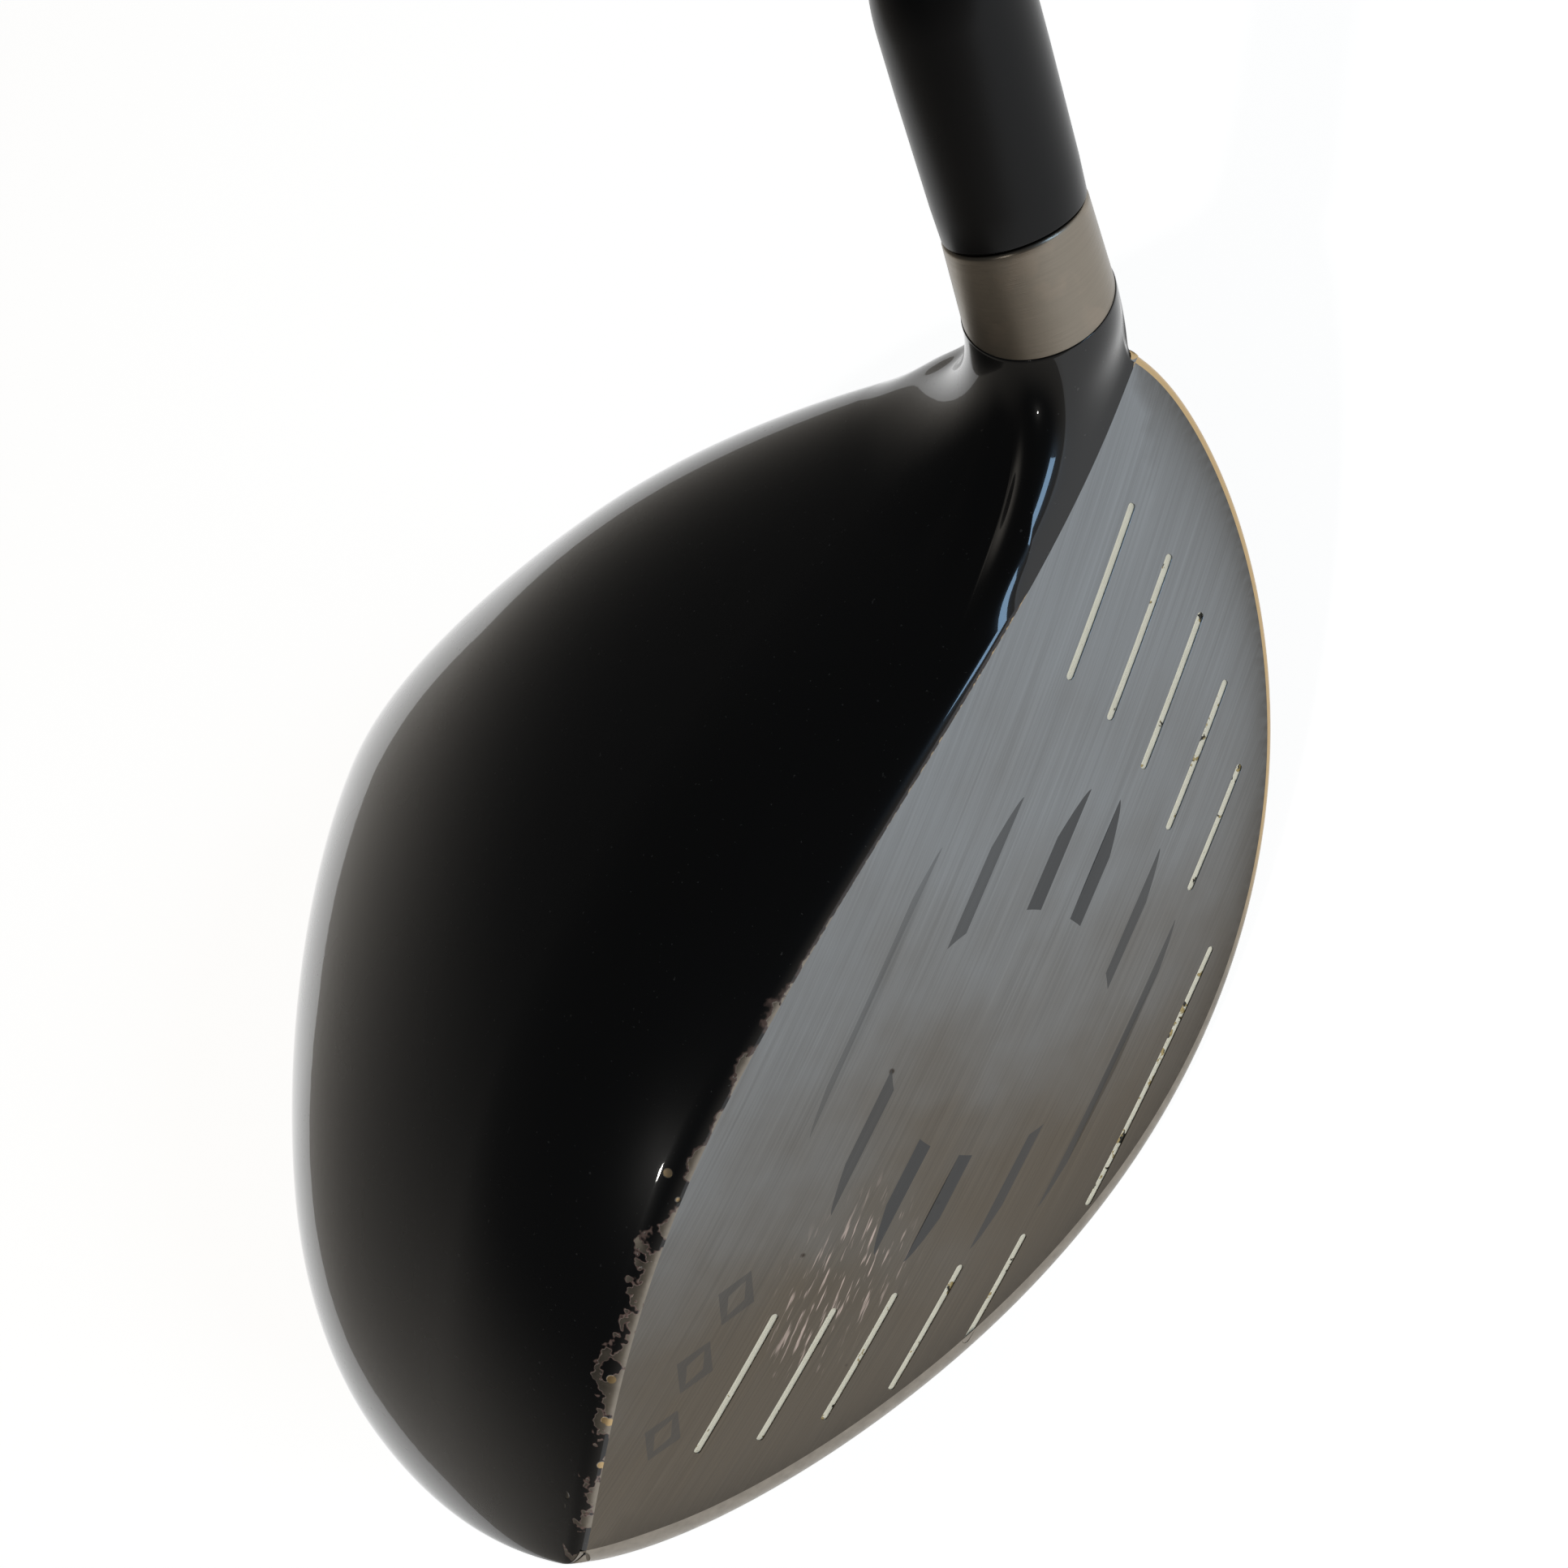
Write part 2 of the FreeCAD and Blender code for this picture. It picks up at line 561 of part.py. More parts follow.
def make_shaft_band():
    """Blank label band wrapped round the shaft below the grip."""
    return turned((
        (BAND_START, shaft_radius(BAND_START)), (BAND_START, shaft_radius(BAND_START) + BAND_FILM),
        (BAND_END, shaft_radius(BAND_END) + BAND_FILM), (BAND_END, shaft_radius(BAND_END)),
    ))


def main():
    """Make and write every sub-part."""
    os.makedirs("parts", exist_ok=True)
    block = hosel_block()
    shell = make_shell()
    face_plate = make_face_plate(shell)
    crown = largest(shell.cut(block).common(crown_post(0.0)))
    plug_top = -BORE_DEPTH
    pieces = {
        "body_casting": make_casting(shell, crown, face_plate, block),
        "crown_plate": crown,
        "face_plate": face_plate,
        "score_line_paint": make_score_paint(),
        "hosel": make_hosel(block),
        "bore_plug": rod(BORE_RADIUS, plug_top - PLUG_LENGTH, plug_top),
        "tip_epoxy": rod(BORE_RADIUS, plug_top, 0.0).cut(rod(TIP_RADIUS, plug_top, 0.0)),
        "tip_weight_pin": rod(TIP_BORE_RADIUS, plug_top, plug_top + TIP_PIN_LENGTH),
        "sole_ribs": make_ribs(),
        "glue_dab": make_glue_dab(),
        "sole_badge": badge_layer(0.0, BADGE_THICKNESS),
        "badge_glue": badge_layer(BADGE_THICKNESS, BADGE_THICKNESS + BADGE_GLUE),
        "ferrule": make_ferrule(),
        "shaft": make_shaft(),
        "shaft_band": make_shaft_band(),
        "grip_tape": make_grip_tape(),
        "grip": make_grip(),
        "grip_cap": make_grip_cap(),
    }
    pieces.update(make_pads())
    for name, shape in pieces.items():
        save(name, shape)


if __name__ == "__main__":
    main()
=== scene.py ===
"""Golf driver: a hollow painted head with a brushed face, and its hosel, ferrule, shaft and grip.

Lengths in the classes are millimetres and angles are radians, in the frame of the CAD model:
the sole rests on z = 0, the face looks along -Y, the toe points along -X, and the shaft rises
from the heel.  A mesh is made in metres when its piece goes into the scene.
"""
import json
import logging
from dataclasses import dataclass, field
from enum import Enum

import bpy
import numpy as np
from mathutils import Matrix, Vector
from mathutils.geometry import delaunay_2d_cdt


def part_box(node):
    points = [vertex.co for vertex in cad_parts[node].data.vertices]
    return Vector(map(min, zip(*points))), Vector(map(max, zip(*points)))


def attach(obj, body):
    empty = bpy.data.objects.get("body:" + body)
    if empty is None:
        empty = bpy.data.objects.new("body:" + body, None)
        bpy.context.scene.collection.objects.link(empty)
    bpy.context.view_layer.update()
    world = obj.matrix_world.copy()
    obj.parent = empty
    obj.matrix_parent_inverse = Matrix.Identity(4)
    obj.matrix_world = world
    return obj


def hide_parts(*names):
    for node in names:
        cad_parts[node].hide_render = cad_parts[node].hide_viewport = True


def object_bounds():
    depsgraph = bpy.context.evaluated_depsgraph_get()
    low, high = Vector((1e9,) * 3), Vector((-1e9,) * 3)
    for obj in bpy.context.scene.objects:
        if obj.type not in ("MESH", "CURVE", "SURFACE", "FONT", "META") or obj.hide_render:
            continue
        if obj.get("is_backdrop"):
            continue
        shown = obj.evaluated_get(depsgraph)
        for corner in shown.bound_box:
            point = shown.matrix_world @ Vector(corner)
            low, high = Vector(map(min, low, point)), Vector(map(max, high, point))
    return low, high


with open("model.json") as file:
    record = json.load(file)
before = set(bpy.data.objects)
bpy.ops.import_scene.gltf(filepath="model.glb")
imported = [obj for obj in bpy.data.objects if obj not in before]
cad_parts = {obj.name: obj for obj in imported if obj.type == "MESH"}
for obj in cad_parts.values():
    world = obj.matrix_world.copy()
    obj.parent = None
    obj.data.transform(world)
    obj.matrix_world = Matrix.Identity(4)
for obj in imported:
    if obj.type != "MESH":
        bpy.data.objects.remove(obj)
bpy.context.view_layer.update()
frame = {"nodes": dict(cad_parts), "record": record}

Array = np.ndarray
Socket = bpy.types.NodeSocket
Node = bpy.types.Node
Colour = tuple[float, float, float]

MM = 0.001
LOG = logging.getLogger("driver")


# ---- sums on arrays ----------------------------------------------------------------------


def smooth(x: Array | float) -> Array:
    """0 below 0, 1 above 1, and x^2 (3 - 2x) between."""
    x = np.clip(x, 0.0, 1.0)
    return x * x * (3.0 - 2.0 * x)


def unit(vectors: Array) -> Array:
    """Vectors along the last axis, each divided by its own length."""
    return vectors / np.maximum(np.linalg.norm(vectors, axis=-1, keepdims=True), 1e-12)


def turns(count: int) -> Array:
    """Angles of `count` even steps round a circle, from 0."""
    return np.linspace(0.0, 2.0 * np.pi, count, endpoint=False)


def grid_normals(points: Array) -> Array:
    """Unit normals of a closed grid (rows x columns x 3), from its two central differences."""
    along = np.roll(points, -1, axis=1) - np.roll(points, 1, axis=1)
    return unit(np.cross(along, np.gradient(points, axis=0)))


def shaded(colour: Colour, factor: float) -> Colour:
    """A colour made darker or lighter, up to 1."""
    return tuple(min(c * factor, 1.0) for c in colour)


def rounded(corners: list[tuple[float, ...]], steps: int = 5) -> Array:
    """A profile through corners, each eased by its own radius.

    Each corner is (s, r) or (s, r, radius).  A radius replaces the corner by the quadratic
    curve (1-t)^2 A + 2t(1-t) C + t^2 B from the point A before it to the point B after it.

    Args:
        corners: the profile's corners in order.
        steps: points along each eased corner, less one.

    Returns:
        points x 2.
    """
    spots = np.array([corner[:2] for corner in corners])
    t = np.linspace(0.0, 1.0, steps + 1)[:, None]
    out: list[Array] = []
    for index, corner in enumerate(corners):
        if len(corner) < 3:
            out.append(spots[index][None])
            continue
        before = unit(spots[index - 1] - spots[index]) * corner[2] + spots[index]
        after = unit(spots[index + 1] - spots[index]) * corner[2] + spots[index]
        out.append((1 - t) ** 2 * before + 2 * t * (1 - t) * spots[index] + t ** 2 * after)
    return np.concatenate(out)


# ---- meshes ------------------------------------------------------------------------------


@dataclass
class PieceMesh:
    """Collects grids and loose triangles, in millimetres, and puts them into one mesh."""

    points: list[Array] = field(default_factory=list)
    normals: list[Array] = field(default_factory=list)
    faces: list[list[int]] = field(default_factory=list)
    face_uvs: list[list[float]] = field(default_factory=list)
    traits: dict[str, list[Array]] = field(default_factory=dict)
    count: int = 0

    def add_points(self, points: Array, normals: Array | None, traits: dict[str, Array]) -> int:
        """Appends points with what each carries.

        Args:
            points: points x 3.
            normals: points x 3, or None where the mesh works out its own.
            traits: numbers for each point, by the name a material reads.

        Returns:
            The number of the first new point.
        """
        first = self.count
        self.points.append(points)
        if normals is not None:
            self.normals.append(normals)
        for name, values in traits.items():
            self.traits.setdefault(name, []).append(np.asarray(values, float))
        self.count += len(points)
        return first

    def add_grid(self, points: Array, closed: bool = True, pole: bool = False,
                 keep: Array | None = None, normals: Array | None = None,
                 traits: dict[str, Array] | None = None, lengths: Array | None = None) -> None:
        """Adds a grid of quads.

        Args:
            points: rows x columns x 3.
            closed: the last column joins the first.
            pole: the last row is one point, with triangles round it.
            keep: rows-1 x columns mask of the quads that stay.
            normals: rows x columns x 3, or None.
            traits: rows x columns arrays, by name.
            lengths: rows, the second texture coordinate of each row.
        """
        rows, cols = points.shape[:2]
        flat = {name: np.broadcast_to(values, (rows, cols)).ravel()
                for name, values in (traits or {}).items()}
        first = self.add_points(points.reshape(-1, 3),
                                None if normals is None else normals.reshape(-1, 3), flat)
        wide = np.arange(cols if closed else cols - 1)
        tall = np.arange(rows - 1)
        row = tall[:, None, None] + np.array([0, 0, 1, 1])
        col = wide[None, :, None] + np.array([0, 1, 1, 0])
        row, col = np.broadcast_arrays(row, col)
        stays = np.ones(row.shape[:2], bool) if keep is None else keep[:, :len(wide)]
        row, col = row[stays], col[stays]
        level = np.arange(rows, dtype=float) if lengths is None else lengths
        at_pole = (row[:, 2] == rows - 1) & pole
        for part, corners in ((at_pole, 3), (~at_pole, 4)):
            if not part.any():
                continue
            r, c = row[part][:, :corners], col[part][:, :corners]
            number = first + r * cols + np.where((r == rows - 1) & pole, 0, c % cols)
            self.faces.extend(number.tolist())
            self.face_uvs.extend(np.stack([c / cols, level[r]], axis=-1).reshape(len(r), -1).tolist())

    def add_triangles(self, points: Array, corners: Array, normals: Array,
                      traits: dict[str, Array]) -> None:
        """Adds loose triangles.

        Args:
            points: points x 3.
            corners: triangles x 3 point numbers.
            normals: points x 3.
            traits: numbers for each point, by name.
        """
        first = self.add_points(points, normals, traits)
        self.faces.extend((corners + first).tolist())
        self.face_uvs.extend(points[corners][:, :, [0, 2]].reshape(len(corners), -1).tolist())

    def build(self, name: str, material: bpy.types.Material,
              crease: float | None = None) -> bpy.types.Object:
        """Makes the object, with its faces turned outwards and its unused points left out.

        Args:
            name: the piece's name.
            material: its material.
            crease: angle past which an edge stays sharp, where no normals were given.

        Returns:
            The object, at the origin, unturned and unscaled.
        """
        points = np.concatenate(self.points)
        sizes = np.array([len(face) for face in self.faces])
        loops = np.concatenate([np.array(face) for face in self.faces])
        starts = np.cumsum(sizes) - sizes
        used, loops = np.unique(loops, return_inverse=True)
        points = points[used]
        a, b, c = (points[loops[starts + step]] for step in range(3))
        facing = np.cross(b - a, c - a)
        has_normals = bool(self.normals)
        normals = np.concatenate(self.normals)[used] if has_normals else None
        outwards = normals[loops[starts]] if has_normals else a - points.mean(axis=0)
        uvs = np.concatenate([np.array(pair) for pair in self.face_uvs]).reshape(-1, 2)
        if has_normals:
            flip = (facing * outwards).sum(axis=1) < 0
        else:
            flip = np.full(len(sizes), (facing * outwards).sum() < 0)
        mesh = bpy.data.meshes.new(name)
        order = np.arange(len(loops))
        owner = np.repeat(np.arange(len(sizes)), sizes)
        mirrored = starts[owner] + sizes[owner] - 1 - (order - starts[owner])
        order = np.where(flip[owner], mirrored, order)
        loops, uvs = loops[order], uvs[order]
        mesh.vertices.add(len(points))
        mesh.vertices.foreach_set("co", (points * MM).ravel())
        mesh.loops.add(len(loops))
        mesh.loops.foreach_set("vertex_index", loops)
        mesh.polygons.add(len(sizes))
        mesh.polygons.foreach_set("loop_start", starts)
        mesh.polygons.foreach_set("use_smooth", np.ones(len(sizes), bool))
        mesh.update(calc_edges=True)
        layer = mesh.uv_layers.new(name="wrap")
        layer.data.foreach_set("uv", uvs.ravel())
        for trait, values in self.traits.items():
            mark = mesh.attributes.new(trait, "FLOAT", "POINT")
            mark.data.foreach_set("value", np.concatenate(values)[used])
        mesh.validate()
        if has_normals:
            mesh.normals_split_custom_set_from_vertices(unit(normals).tolist())
        elif crease is not None:
            mesh.set_sharp_from_angle(angle=crease)
        mesh.materials.append(material)
        piece = bpy.data.objects.new(name, mesh)
        bpy.context.scene.collection.objects.link(piece)
        return piece


# ---- materials ---------------------------------------------------------------------------


class Space(Enum):
    """What a pattern is measured in: the club's frame, or the piece's own wrap."""

    CLUB = "Object"
    WRAP = "UV"


class Recipe:
    """A material's node tree, with short calls for the nodes that the finishes use."""

    def __init__(self, name: str) -> None:
        """Starts a material with only its shader and its output."""
        self.material = bpy.data.materials.new(name)
        self.material.use_nodes = True
        self.tree = self.material.node_tree
        self.tree.nodes.clear()
        self.shader = self.node("ShaderNodeBsdfPrincipled")
        out = self.node("ShaderNodeOutputMaterial")
        self.tree.links.new(self.shader.outputs["BSDF"], out.inputs["Surface"])
        self.places: dict[Space, Socket] = {}

    def node(self, kind: str, **settings: object) -> Node:
        """Adds a node and sets its own properties."""
        made = self.tree.nodes.new(kind)
        for name, value in settings.items():
            setattr(made, name, value)
        return made

    def feed(self, target: Socket, source: object) -> None:
        """Links a socket, or sets it where the source is a plain value; a colour gets its alpha."""
        if isinstance(source, bpy.types.NodeSocket):
            self.tree.links.new(source, target)
        elif target.type == "RGBA":
            target.default_value = (*source, 1.0)
        else:
            target.default_value = source

    def set(self, **sockets: object) -> None:
        """Feeds the shader's sockets, named with _ for a space."""
        for name, source in sockets.items():
            self.feed(self.shader.inputs[name.replace("_", " ")], source)

    def sums(self, operation: str, *values: object, clamp: bool = False) -> Socket:
        """One Math node."""
        made = self.node("ShaderNodeMath", operation=operation, use_clamp=clamp)
        for socket, value in zip(made.inputs, values):
            self.feed(socket, value)
        return made.outputs[0]

    def times(self, first: object, second: object) -> Socket:
        """The product of two values."""
        return self.sums("MULTIPLY", first, second)

    def plus(self, first: object, second: object) -> Socket:
        """The sum of two values."""
        return self.sums("ADD", first, second)

    def vectors(self, operation: str, *values: object, output: str = "Vector") -> Socket:
        """One Vector Math node."""
        made = self.node("ShaderNodeVectorMath", operation=operation)
        for socket, value in zip(made.inputs, values):
            self.feed(socket, value)
        return made.outputs[output]

    def place(self, space: Space, stretch: tuple[float, float, float] = (1, 1, 1),
              turn: tuple[float, float, float] = (0, 0, 0)) -> Socket:
        """Coordinates in a space, turned and then stretched.

        Args:
            space: what the pattern is measured in.
            stretch: factor along each axis.
            turn: angles about each axis.

        Returns:
            The vector socket.
        """
        if space not in self.places:
            if space is Space.WRAP:
                made = self.node("ShaderNodeUVMap", uv_map="wrap").outputs[0]
            else:
                made = self.node("ShaderNodeTexCoord").outputs["Object"]
            self.places[space] = made
        where = self.places[space]
        if any(turn):
            turned = self.node("ShaderNodeMapping")
            self.feed(turned.inputs["Vector"], where)
            self.feed(turned.inputs["Rotation"], turn)
            where = turned.outputs[0]
        return self.vectors("MULTIPLY", where, stretch)

    def noise(self, scale: float, detail: float = 2.0, rough: float = 0.5, space: Space = Space.CLUB,
              stretch: tuple[float, float, float] = (1, 1, 1),
              turn: tuple[float, float, float] = (0, 0, 0)) -> Socket:
        """Noise from 0 to 1, with `scale` features to the unit of its space."""
        made = self.node("ShaderNodeTexNoise")
        self.feed(made.inputs["Vector"], self.place(space, stretch, turn))
        for name, value in (("Scale", scale), ("Detail", detail), ("Roughness", rough)):
            made.inputs[name].default_value = value
        return made.outputs["Fac"]

    def cells(self, scale: float, space: Space = Space.CLUB,
              stretch: tuple[float, float, float] = (1, 1, 1)) -> tuple[Socket, Socket]:
        """Distance to the nearest of scattered spots, and a colour for each spot."""
        made = self.node("ShaderNodeTexVoronoi")
        self.feed(made.inputs["Vector"], self.place(space, stretch))
        made.inputs["Scale"].default_value = scale
        return made.outputs["Distance"], made.outputs["Color"]

    def step(self, value: object, low: float, high: float) -> Socket:
        """0 below low and 1 above high, eased between; low may be the larger."""
        if low > high:
            return self.sums("SUBTRACT", 1.0, self.step(value, high, low))
        made = self.node("ShaderNodeMapRange", interpolation_type="SMOOTHSTEP")
        self.feed(made.inputs["Value"], value)
        made.inputs["From Min"].default_value = low
        made.inputs["From Max"].default_value = high
        return made.outputs[0]

    def span(self, value: object, low: float, high: float) -> Socket:
        """A value from 0 to 1 carried onto low to high."""
        made = self.node("ShaderNodeMapRange")
        self.feed(made.inputs["Value"], value)
        made.inputs["To Min"].default_value = low
        made.inputs["To Max"].default_value = high
        return made.outputs[0]

    def blend(self, share: object, first: object, second: object) -> Socket:
        """Mixes two colours: the first at 0 and the second at 1."""
        made = self.node("ShaderNodeMix", data_type="RGBA")
        for index, source in ((0, share), (6, first), (7, second)):
            self.feed(made.inputs[index], source)
        return made.outputs[2]

    def mixed(self, share: object, first: object, second: object) -> Socket:
        """Mixes two numbers: the first at 0 and the second at 1."""
        made = self.node("ShaderNodeMix", data_type="FLOAT")
        for index, source in ((0, share), (2, first), (3, second)):
            self.feed(made.inputs[index], source)
        return made.outputs[0]

    def trait(self, name: str) -> Socket:
        """A number that the mesh carries for each of its points."""
        return self.node("ShaderNodeAttribute", attribute_name=name).outputs["Fac"]

    def relief(self, height: Socket, depth: float, strength: float = 1.0,
               under: Socket | None = None) -> Socket:
        """A bump from a height of 0 to 1 that stands for `depth` millimetres."""
        made = self.node("ShaderNodeBump")
        self.feed(made.inputs["Height"], height)
        made.inputs["Strength"].default_value = strength
        made.inputs["Distance"].default_value = depth * MM
        if under is not None:
            self.feed(made.inputs["Normal"], under)
        return made.outputs[0]

    def scratch(self, start: Colour, end: Colour, width: float) -> Socket:
        """A mask that is 1 on the straight line between two points and 0 past its width.

        Args:
            start: one end, in millimetres in the club's frame.
            end: the other end.
            width: half the line's width, in millimetres.

        Returns:
            The mask: 1 - |p - a - h (b - a)| / width, with h the share along the line.
        """
        a = tuple(x * MM for x in start)
        run = tuple((y - x) * MM for x, y in zip(start, end))
        from_a = self.vectors("SUBTRACT", self.place(Space.CLUB), a)
        along = self.vectors("DOT_PRODUCT", from_a, run, output="Value")
        share = self.sums("DIVIDE", along, sum(x * x for x in run), clamp=True)
        near = self.node("ShaderNodeVectorMath", operation="SCALE")
        self.feed(near.inputs[0], run)
        self.feed(near.inputs["Scale"], share)
        off = self.vectors("DISTANCE", from_a, near.outputs[0], output="Value")
        return self.step(off, width * MM, 0.3 * width * MM)


@dataclass(frozen=True)
class Lacquer:
    """Gloss black paint over metal, chipped where the mesh says how far it is past its edge."""

    name: str
    colour: Colour = (0.0026, 0.0026, 0.0027)
    chipped: bool = False
    under_shine: float = 0.12
    coat_index: float = 1.42
    coat_roughness: float = 0.035
    bite_level: float = 0.455
    bite_gain: float = 13.0
    primer_width: float = 0.38
    metal: Colour = (0.30, 0.268, 0.225)
    gold: Colour = (0.50, 0.36, 0.19)
    primer: Colour = (0.30, 0.19, 0.15)

    def make(self) -> bpy.types.Material:
        """The material: a dark base under a clear coat, with dust, orange peel, chips and painted
        glints.
        """
        mix = Recipe(self.name)
        cloud = mix.noise(35.0, 3.0)
        dust = mix.step(mix.noise(2600.0, 1.0), 0.74, 0.80)
        base = mix.blend(cloud, self.colour, shaded(self.colour, 1.5))
        base = mix.blend(mix.times(dust, 0.10), base, (0.35, 0.33, 0.30))
        rough = mix.plus(mix.span(cloud, 0.22, 0.32), mix.times(dust, 0.2))
        peel = mix.relief(mix.noise(420.0, 2.0), 0.004)
        mix.set(Specular_IOR_Level=self.under_shine, Coat_Weight=1.0,
                Coat_Roughness=self.coat_roughness, Coat_IOR=self.coat_index)
        if not self.chipped:
            mix.set(Base_Color=base, Roughness=rough, Normal=peel)
            mix.feed(mix.shader.inputs["Coat Normal"], peel)
            return mix.material
        past, wear = mix.trait("past_edge"), mix.trait("wear")
        small, large = mix.noise(1500.0, 3.0, 0.6), mix.noise(330.0, 3.0, 0.62)
        ragged = mix.times(mix.sums("SUBTRACT", small, 0.5), 0.5)
        bite = mix.times(mix.sums("SUBTRACT", large, self.bite_level), self.bite_gain)
        bite = mix.times(bite, wear)
        level = mix.plus(mix.plus(past, ragged), bite)
        # Painted glints: scattered spots near the worn paint edge are made bare and coloured gold,
        # standing in for highlights on the bevels of the chipped paint.
        spot, glint_luck = mix.cells(620.0)
        chips_and_glints = mix.times(mix.step(spot, 0.30, 0.22), mix.step(glint_luck, 0.70, 0.72))
        near = mix.times(mix.step(past, -3.4, -2.6), mix.step(wear, 0.30, 0.55))
        chips_and_glints = mix.times(chips_and_glints, near)
        bare = mix.sums("MAXIMUM", mix.step(level, 0.0, 0.06), chips_and_glints)
        worn = mix.times(mix.step(level, -self.primer_width, -0.02), mix.plus(mix.times(wear, 0.8), 0.1))
        colour = mix.blend(worn, base, self.primer)
        metal = mix.blend(mix.noise(900.0, 2.0), self.metal, shaded(self.metal, 0.6))
        # The painted glints, and the bare metal towards the heel, are coloured gold.
        heelward = mix.vectors("DOT_PRODUCT", mix.place(Space.CLUB), (1.0, 0.0, 0.0),
                               output="Value")
        metal = mix.blend(mix.sums("MAXIMUM", chips_and_glints, mix.step(heelward, 0.012, 0.032)), metal, self.gold)
        mix.set(Base_Color=mix.blend(bare, colour, metal), Metallic=bare,
                Roughness=mix.mixed(bare, rough, mix.span(small, 0.2, 0.45)),
                Coat_Weight=mix.sums("SUBTRACT", 1.0, bare))
        edge = mix.relief(mix.sums("SUBTRACT", 1.0, bare), 0.06, 1.0, peel)
        mix.set(Normal=edge)
        mix.feed(mix.shader.inputs["Coat Normal"], edge)
        return mix.material


@dataclass(frozen=True)
class BrushedFace:
    """Brushed titanium with streaks from heel to toe, stains, scuffs, scratches and etched marks, and a
    painted reflection that lightens and cools the face towards the heel and the top.
    """

    name: str = "brushed_face"
    # cool is the light bluish colour of the painted reflection, and warm the darker colour that it fades
    # to towards the toe and the bottom.
    cool: Colour = (0.205, 0.218, 0.228)
    warm: Colour = (0.086, 0.072, 0.055)
    etched: Colour = (0.070, 0.071, 0.072)
    shade: Colour = (0.060, 0.052, 0.042)
    rubbed: Colour = (0.58, 0.47, 0.42)
    scratched: Colour = (0.50, 0.50, 0.49)
    scuff_centre: Colour = (-25.0, -30.0, 32.0)
    scratches: tuple[tuple[Colour, Colour, float], ...] = (
        ((-12.0, -30.0, 29.0), (8.0, -30.0, 37.0), 0.10),
        ((-15.0, -30.0, 33.0), (6.0, -30.0, 39.0), 0.07),
        ((-2.0, -31.0, 17.0), (-9.0, -31.0, 12.0), 0.12),
        ((14.0, -30.0, 40.0), (17.0, -30.0, 36.0), 0.10),
        ((-29.0, -29.5, 26.0), (-22.0, -29.5, 33.0), 0.09),
        ((27.0, -29.0, 31.0), (33.0, -29.0, 27.0), 0.08),
    )

    def make(self) -> bpy.types.Material:
        """The material: colour, roughness and relief all follow the same streaks."""
        mix = Recipe(self.name)
        fine = mix.noise(1.0, 2.0, 0.6, stretch=(55.0, 0.0, 5200.0))
        broad = mix.noise(1.0, 3.0, 0.6, stretch=(18.0, 0.0, 900.0))
        stain = mix.noise(34.0, 4.0, 0.6)
        blotch = mix.noise(120.0, 3.0, 0.6)
        # Painted reflection: the colour goes from dark and warm to light and bluish towards the heel and
        # the top of the face, broken up by the stain noise; the light streaks follow the same slope.
        apart = mix.node("ShaderNodeSeparateXYZ")
        mix.feed(apart.inputs[0], mix.place(Space.CLUB))
        lean = mix.plus(mix.times(apart.outputs[0], 11.0),
                        mix.times(mix.sums("SUBTRACT", apart.outputs[2], 0.028), 14.0))
        cool = mix.step(mix.plus(lean, mix.span(stain, -0.5, 0.5)), -0.38, 0.52)
        colour = mix.blend(cool, self.warm, self.cool)
        colour = mix.blend(mix.span(broad, 0.0, 0.6), colour, (0.085, 0.08, 0.073))
        bright = mix.blend(cool, shaded(self.warm, 2.3), shaded(self.cool, 1.8))
        colour = mix.blend(mix.span(fine, 0.0, 0.5), colour, bright)
        spot, _ = mix.cells(210.0)
        nick = mix.times(mix.step(spot, 0.08, 0.03), mix.step(blotch, 0.52, 0.6))
        colour = mix.blend(nick, colour, (0.05, 0.042, 0.035))
        colour = mix.blend(mix.times(mix.trait("edge_shade"), 0.75), colour, self.shade)
        scuff = self.scuff(mix)
        lines = self.lines(mix)
        colour = mix.blend(mix.times(scuff, 0.75), colour, self.rubbed)
        colour = mix.blend(mix.times(lines, 0.7), colour, self.scratched)
        etch = mix.trait("etched")
        colour = mix.blend(mix.times(etch, 0.9), colour, self.etched)
        rough = mix.plus(mix.span(broad, 0.27, 0.37), mix.times(etch, 0.12))
        height = mix.plus(mix.times(fine, 0.6), mix.times(broad, 0.4))
        skin = mix.relief(height, 0.010, 0.8)
        skin = mix.relief(mix.plus(lines, nick), 0.02, -1.0, skin)
        mix.set(Base_Color=colour, Metallic=1.0, Normal=skin,
                Roughness=mix.plus(rough, mix.span(stain, -0.04, 0.05)))
        return mix.material

    def scuff(self, mix: Recipe) -> Socket:
        """A patch of short scratches, close to the brushing's way, where the toe side was rubbed."""
        middle = tuple(x * MM for x in self.scuff_centre)
        away = mix.vectors("SUBTRACT", mix.place(Space.CLUB), middle)
        away = mix.vectors("MULTIPLY", away, (1.0, 0.0, 1.5))
        far = mix.vectors("LENGTH", away, output="Value")
        ragged = mix.span(mix.noise(160.0, 2.0), -0.004, 0.004)
        patch = mix.step(mix.plus(far, ragged), 0.012, 0.004)
        marks = mix.noise(1.0, 2.0, 0.6, stretch=(240.0, 0.0, 2600.0), turn=(0.0, 0.12, 0.0))
        marks = mix.step(marks, 0.56, 0.68)
        return mix.times(patch, marks)

    def lines(self, mix: Recipe) -> Socket:
        """Every long scratch, as the largest of their masks."""
        total: object = 0.0
        for start, end, width in self.scratches:
            total = mix.sums("MAXIMUM", total, mix.scratch(start, end, width))
        return total


